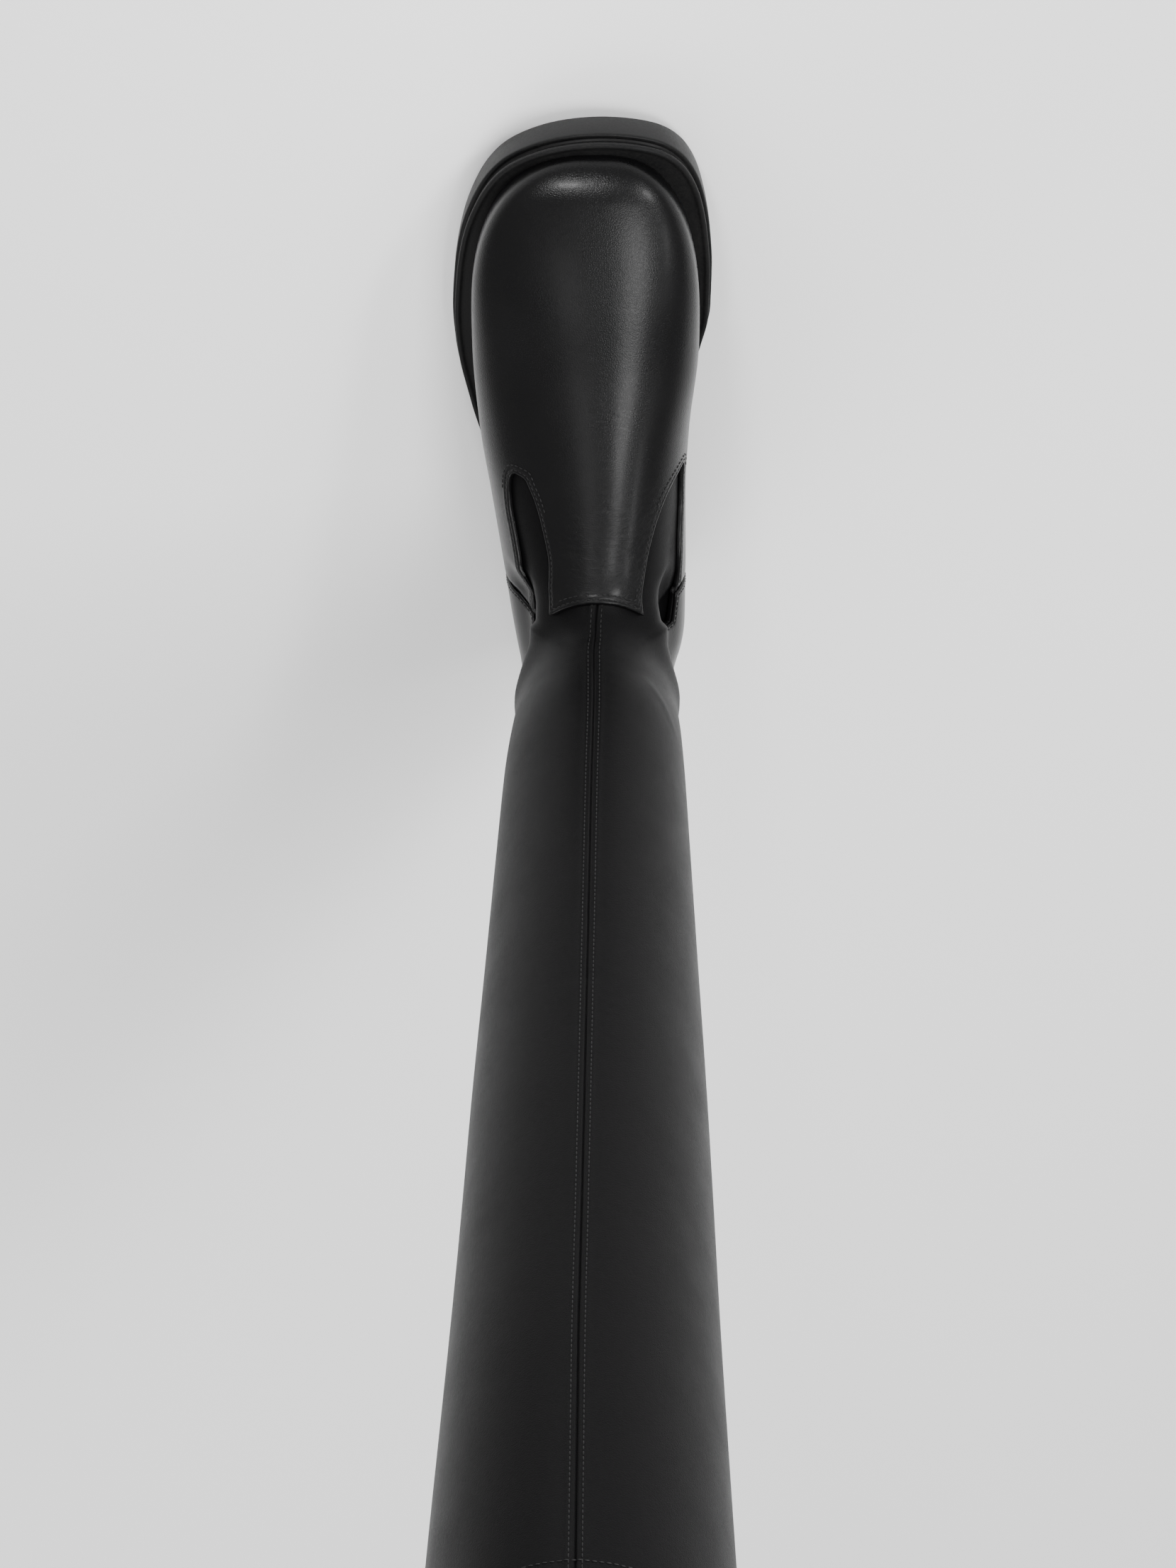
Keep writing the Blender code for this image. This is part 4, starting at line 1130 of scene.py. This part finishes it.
def wrinkle_group():
    """Fine wrinkles that gather where the instep bends."""
    tree, node, link = new_group("instep wrinkles", (("Strength", 1.0),), ("Height",))
    given, out = node("NodeGroupInput"), node("NodeGroupOutput")
    place = node("ShaderNodeTexCoord").outputs["Object"]
    turned = node("ShaderNodeMapping")
    turned.inputs["Rotation"].default_value = (math.radians(38), 0.0, math.radians(-24))
    turned.inputs["Scale"].default_value = (170.0, 620.0, 420.0)
    link(place, turned.inputs["Vector"])
    creases = texture(node, link, "Noise", turned.outputs[0], 1.0, Detail=4.0, Roughness=0.6, Distortion=0.6)
    ridged = math_node(node, link, "ABSOLUTE", math_node(node, link, "SUBTRACT", creases.outputs["Fac"], 0.5))
    sharp = math_node(node, link, "MULTIPLY", ridged, 3.5, clamp=True)
    away = node("ShaderNodeVectorMath")
    away.operation = "DISTANCE"
    away.inputs[1].default_value = (-0.012, -0.084, 0.112)
    link(place, away.inputs[0])
    fade = node("ShaderNodeMapRange")
    fade.interpolation_type = "SMOOTHSTEP"
    fade.inputs["From Min"].default_value = 0.050
    fade.inputs["From Max"].default_value = 0.010
    link(away.outputs["Value"], fade.inputs["Value"])
    strength = math_node(node, link, "MULTIPLY", fade.outputs["Result"], given.outputs["Strength"])
    link(math_node(node, link, "MULTIPLY", sharp, strength), out.inputs["Height"])
    return tree


def wear_group():
    """Dust and handling: faint smears and specks that change the gloss."""
    tree, node, link = new_group("handling", (("Amount", 0.5),), ("Mask",))
    given, out = node("NodeGroupInput"), node("NodeGroupOutput")
    place = node("ShaderNodeTexCoord").outputs["Object"]
    smear = texture(node, link, "Noise", place, 55.0, Detail=6.0, Roughness=0.65)
    specks = texture(node, link, "Noise", place, 900.0, Detail=1.0)
    mixed = math_node(node, link, "MULTIPLY", smear.outputs["Fac"], specks.outputs["Fac"])
    raised = math_node(node, link, "MULTIPLY", mixed, 4.0)
    link(math_node(node, link, "MULTIPLY", math_node(node, link, "SUBTRACT", raised, 0.6, clamp=True),
                   given.outputs["Amount"]), out.inputs["Mask"])
    return tree


def new_material(name, roughness, colour, **plain):
    material = bpy.data.materials.new(name)
    material.use_nodes = True
    shader = material.node_tree.nodes["Principled BSDF"]
    shader.inputs["Base Color"].default_value = (*colour, 1.0)
    shader.inputs["Roughness"].default_value = roughness
    for key, value in plain.items():
        shader.inputs[key.replace("_", " ")].default_value = value
    material.diffuse_color = (*colour, 1.0)
    return material, shader, material.node_tree.nodes.new, material.node_tree.links.new


def span(node, link, value, low, high, first=0.0, last=1.0):
    """Map a value from first..last to low..high."""
    item = node("ShaderNodeMapRange")
    for label, number in (("From Min", first), ("From Max", last), ("To Min", low), ("To Max", high)):
        item.inputs[label].default_value = number
    link(value, item.inputs["Value"])
    return item.outputs["Result"]


def colour_between(node, link, value, first, last):
    item = node("ShaderNodeMix")
    item.data_type = "RGBA"
    item.inputs["A"].default_value = (*first, 1.0)
    item.inputs["B"].default_value = (*last, 1.0)
    link(value, item.inputs["Factor"])
    return item.outputs["Result"]


def bump(node, link, height, distance, strength, before=None):
    item = node("ShaderNodeBump")
    item.inputs["Distance"].default_value = distance
    item.inputs["Strength"].default_value = strength
    link(height, item.inputs["Height"])
    if before is not None:
        link(before, item.inputs["Normal"])
    return item.outputs["Normal"]


def leather(name, groups, roughness, cells, depth, wrinkles, **plain):
    """Black box leather, with a light finish coat where one is asked for."""
    dark, light = (0.0020, 0.0020, 0.0022), (0.0036, 0.0035, 0.0037)
    material, shader, node, link = new_material(name, roughness, dark, **plain)
    grain = use_group(node, groups["grain"], Cell_scale=cells)
    wear = use_group(node, groups["handling"], Amount=0.4)
    link(colour_between(node, link, grain["Unevenness"], dark, light), shader.inputs["Base Color"])
    base = span(node, link, grain["Unevenness"], roughness - 0.05, roughness + 0.05)
    worn = math_node(node, link, "MULTIPLY", wear["Mask"], 0.12)
    link(math_node(node, link, "ADD", base, worn), shader.inputs["Roughness"])
    normal = bump(node, link, grain["Height"], 0.00012, depth)
    if wrinkles:
        folds = use_group(node, groups["wrinkles"])
        normal = bump(node, link, folds["Height"], 0.00025, wrinkles, normal)
    link(normal, shader.inputs["Normal"])
    return material


def rubber(name, groups, roughness, depth):
    """Semi-matt black moulded rubber."""
    dark, light = (0.0045, 0.0045, 0.0048), (0.0100, 0.0098, 0.0095)
    material, shader, node, link = new_material(name, roughness, dark, Specular_IOR_Level=0.12)
    wear = use_group(node, groups["handling"], Amount=0.7)["Mask"]
    place = node("ShaderNodeTexCoord").outputs["Object"]
    fine = texture(node, link, "Noise", place, 1500.0, Detail=3.0)
    link(colour_between(node, link, wear, dark, light), shader.inputs["Base Color"])
    link(span(node, link, wear, roughness, roughness + 0.15), shader.inputs["Roughness"])
    link(bump(node, link, fine.outputs["Fac"], 0.0001, depth), shader.inputs["Normal"])
    return material


def thread_material():
    """Waxed black thread, twisted."""
    black = (0.004, 0.004, 0.0042)
    material, shader, node, link = new_material("black thread", 0.55, black, Specular_IOR_Level=0.30)
    place = node("ShaderNodeTexCoord").outputs["Object"]
    twist = texture(node, link, "Noise", place, 2400.0, Detail=2.0)
    link(bump(node, link, twist.outputs["Fac"], 0.00008, 0.5), shader.inputs["Normal"])
    link(span(node, link, twist.outputs["Fac"], 0.45, 0.65), shader.inputs["Roughness"])
    return material


def board_material():
    """Insole board, pale brown, with a fibrous face."""
    dark, light = (0.20, 0.155, 0.115), (0.33, 0.27, 0.21)
    material, shader, node, link = new_material("insole board", 0.8, dark)
    place = node("ShaderNodeTexCoord").outputs["Object"]
    fibres = texture(node, link, "Noise", place, 420.0, Detail=5.0, Roughness=0.7)
    link(colour_between(node, link, fibres.outputs["Fac"], dark, light), shader.inputs["Base Color"])
    link(span(node, link, fibres.outputs["Fac"], 0.7, 0.9), shader.inputs["Roughness"])
    link(bump(node, link, fibres.outputs["Fac"], 0.0002, 0.4), shader.inputs["Normal"])
    return material


# Studio

def add_floor():
    mesh = bmesh.new()
    bmesh.ops.create_grid(mesh, x_segments=1, y_segments=1, size=6.0)
    floor = put("studio_floor", to_data("studio_floor", mesh))
    material = new_material("pale floor", 0.9, (0.92, 0.92, 0.92), Specular_IOR_Level=0.1)[0]
    floor.data.materials.append(material)


def add_light(name, direction, distance, size, power):
    """A soft box that faces the boot from the given direction, its second size laid out along Y."""
    light = bpy.data.lights.new(name, "AREA")
    light.shape = "RECTANGLE"
    light.size, light.size_y = size
    light.energy = power
    item = put(name, light)
    back = Vector(direction).normalized()
    right = Vector((0, 1, 0)).cross(back).normalized()
    turn = Matrix((right, back.cross(right), back)).transposed().to_4x4()
    item.matrix_world = Matrix.Translation(Vector(LIT_SPOT) + back * distance) @ turn


def add_camera():
    """The photograph's view: in front of the toe and above it, turned half round."""
    rise = math.radians(CAMERA_ELEVATION)
    back = Vector((0, -math.cos(rise), math.sin(rise)))
    right = Vector((-1, 0, 0))
    up = back.cross(right)
    data = bpy.data.cameras.new("camera")
    data.sensor_width = 36.0
    data.sensor_fit = "AUTO"
    data.lens = CAMERA_LENS
    data.clip_end = 50.0
    camera = put("camera", data)
    turn = Matrix((right, up, back)).transposed().to_4x4()
    camera.matrix_world = Matrix.Translation(Vector(CAMERA_TARGET) + back * CAMERA_DISTANCE) @ turn
    bpy.context.scene.camera = camera


def add_world(strength):
    world = bpy.data.worlds.new("studio")
    world.use_nodes = True
    world.node_tree.nodes["Background"].inputs["Color"].default_value = (1.0, 1.0, 1.0, 1.0)
    world.node_tree.nodes["Background"].inputs["Strength"].default_value = strength
    bpy.context.scene.world = world


CAMERA_ELEVATION = 50
CAMERA_TARGET = (0.0045, -0.090, 0.2735)
CAMERA_DISTANCE = 2.0
CAMERA_LENS = 112.0
LIT_SPOT = (0.0, -0.12, 0.10)
LIGHTS = (
    # name, direction from the lit spot, distance, size, watts
    ("overhead soft box", (-0.31, -0.20, 0.93), 1.6, (0.42, 0.58), 17.0),
    ("medial soft box", (-0.56, -0.64, 0.53), 1.6, (0.17, 0.36), 13.0),
    ("instep soft box", (-0.75, -0.19, 0.63), 1.6, (0.22, 0.24), 3.0),
    ("lateral soft box", (0.23, -0.33, 0.915), 0.3, (0.05, 0.08), 0.08),
    ("front soft box", (0.155, -0.90, 0.41), 0.6, (0.085, 0.045), 1.9),
    ("back soft box", (0.30, 0.62, 0.72), 1.8, (1.20, 1.00), 18.0),
)
add_camera()
add_floor()
add_world(0.70)
for light in LIGHTS:
    add_light(*light)

GROUPS = {"grain": grain_group(), "wrinkles": wrinkle_group(), "handling": wear_group()}
UPPER_LEATHER = leather("upper leather", GROUPS, roughness=0.28, cells=1150.0, depth=0.45, wrinkles=0.70,
                        Specular_IOR_Level=0.11, Coat_Weight=0.08, Coat_Roughness=0.23)
SHAFT_LEATHER = leather("shaft leather", GROUPS, roughness=0.42, cells=1250.0, depth=0.40, wrinkles=0.0,
                        Specular_IOR_Level=0.05)
SOLE_RUBBER = rubber("sole rubber", GROUPS, 0.42, 0.18)
WELT_RUBBER = rubber("welt rubber", GROUPS, 0.55, 0.60)
THREAD = thread_material()

mesh, upper_rows = build_upper()
add_piece("upper_leather", mesh, UPPER_LEATHER, "upper_leather", "upper")
mesh, counter_rows = build_counter()
add_piece("counter_leather", mesh, UPPER_LEATHER, "upper_leather", "counter")
mesh, shaft_rows = build_shaft()
add_piece("shaft_leather", mesh, SHAFT_LEATHER, "shaft_leather", "shaft")
STITCHES = stitch_tree()
build_stitches("upper_stitches", upper_rows + counter_rows, STITCHES, THREAD, "upper_leather",
               pitch=0.0024, length=0.0019, radius=0.00028)
build_stitches("shaft_stitches", shaft_rows, STITCHES, THREAD, "shaft_leather",
               pitch=0.0026, length=0.0021, radius=0.00026)

add_piece("outsole_rubber", outsole_mesh(), SOLE_RUBBER, "sole_rubber", "outsole")
add_piece("heel_rubber", heel_mesh(), SOLE_RUBBER, "sole_rubber", "heel")
midsole_below = WELT_THICKNESS + GAP + MIDSOLE_THICKNESS
add_piece("midsole_rubber", edge_layer("midsole_rubber", midsole_below, MIDSOLE_EDGE), SOLE_RUBBER,
          "sole_rubber", "midsole")
add_piece("welt_rubber", edge_layer("welt_rubber", WELT_THICKNESS, WELT_EDGE), WELT_RUBBER,
          "sole_rubber", "welt")
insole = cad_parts["insole"]
insole.data.materials.clear()
insole.data.materials.append(board_material())
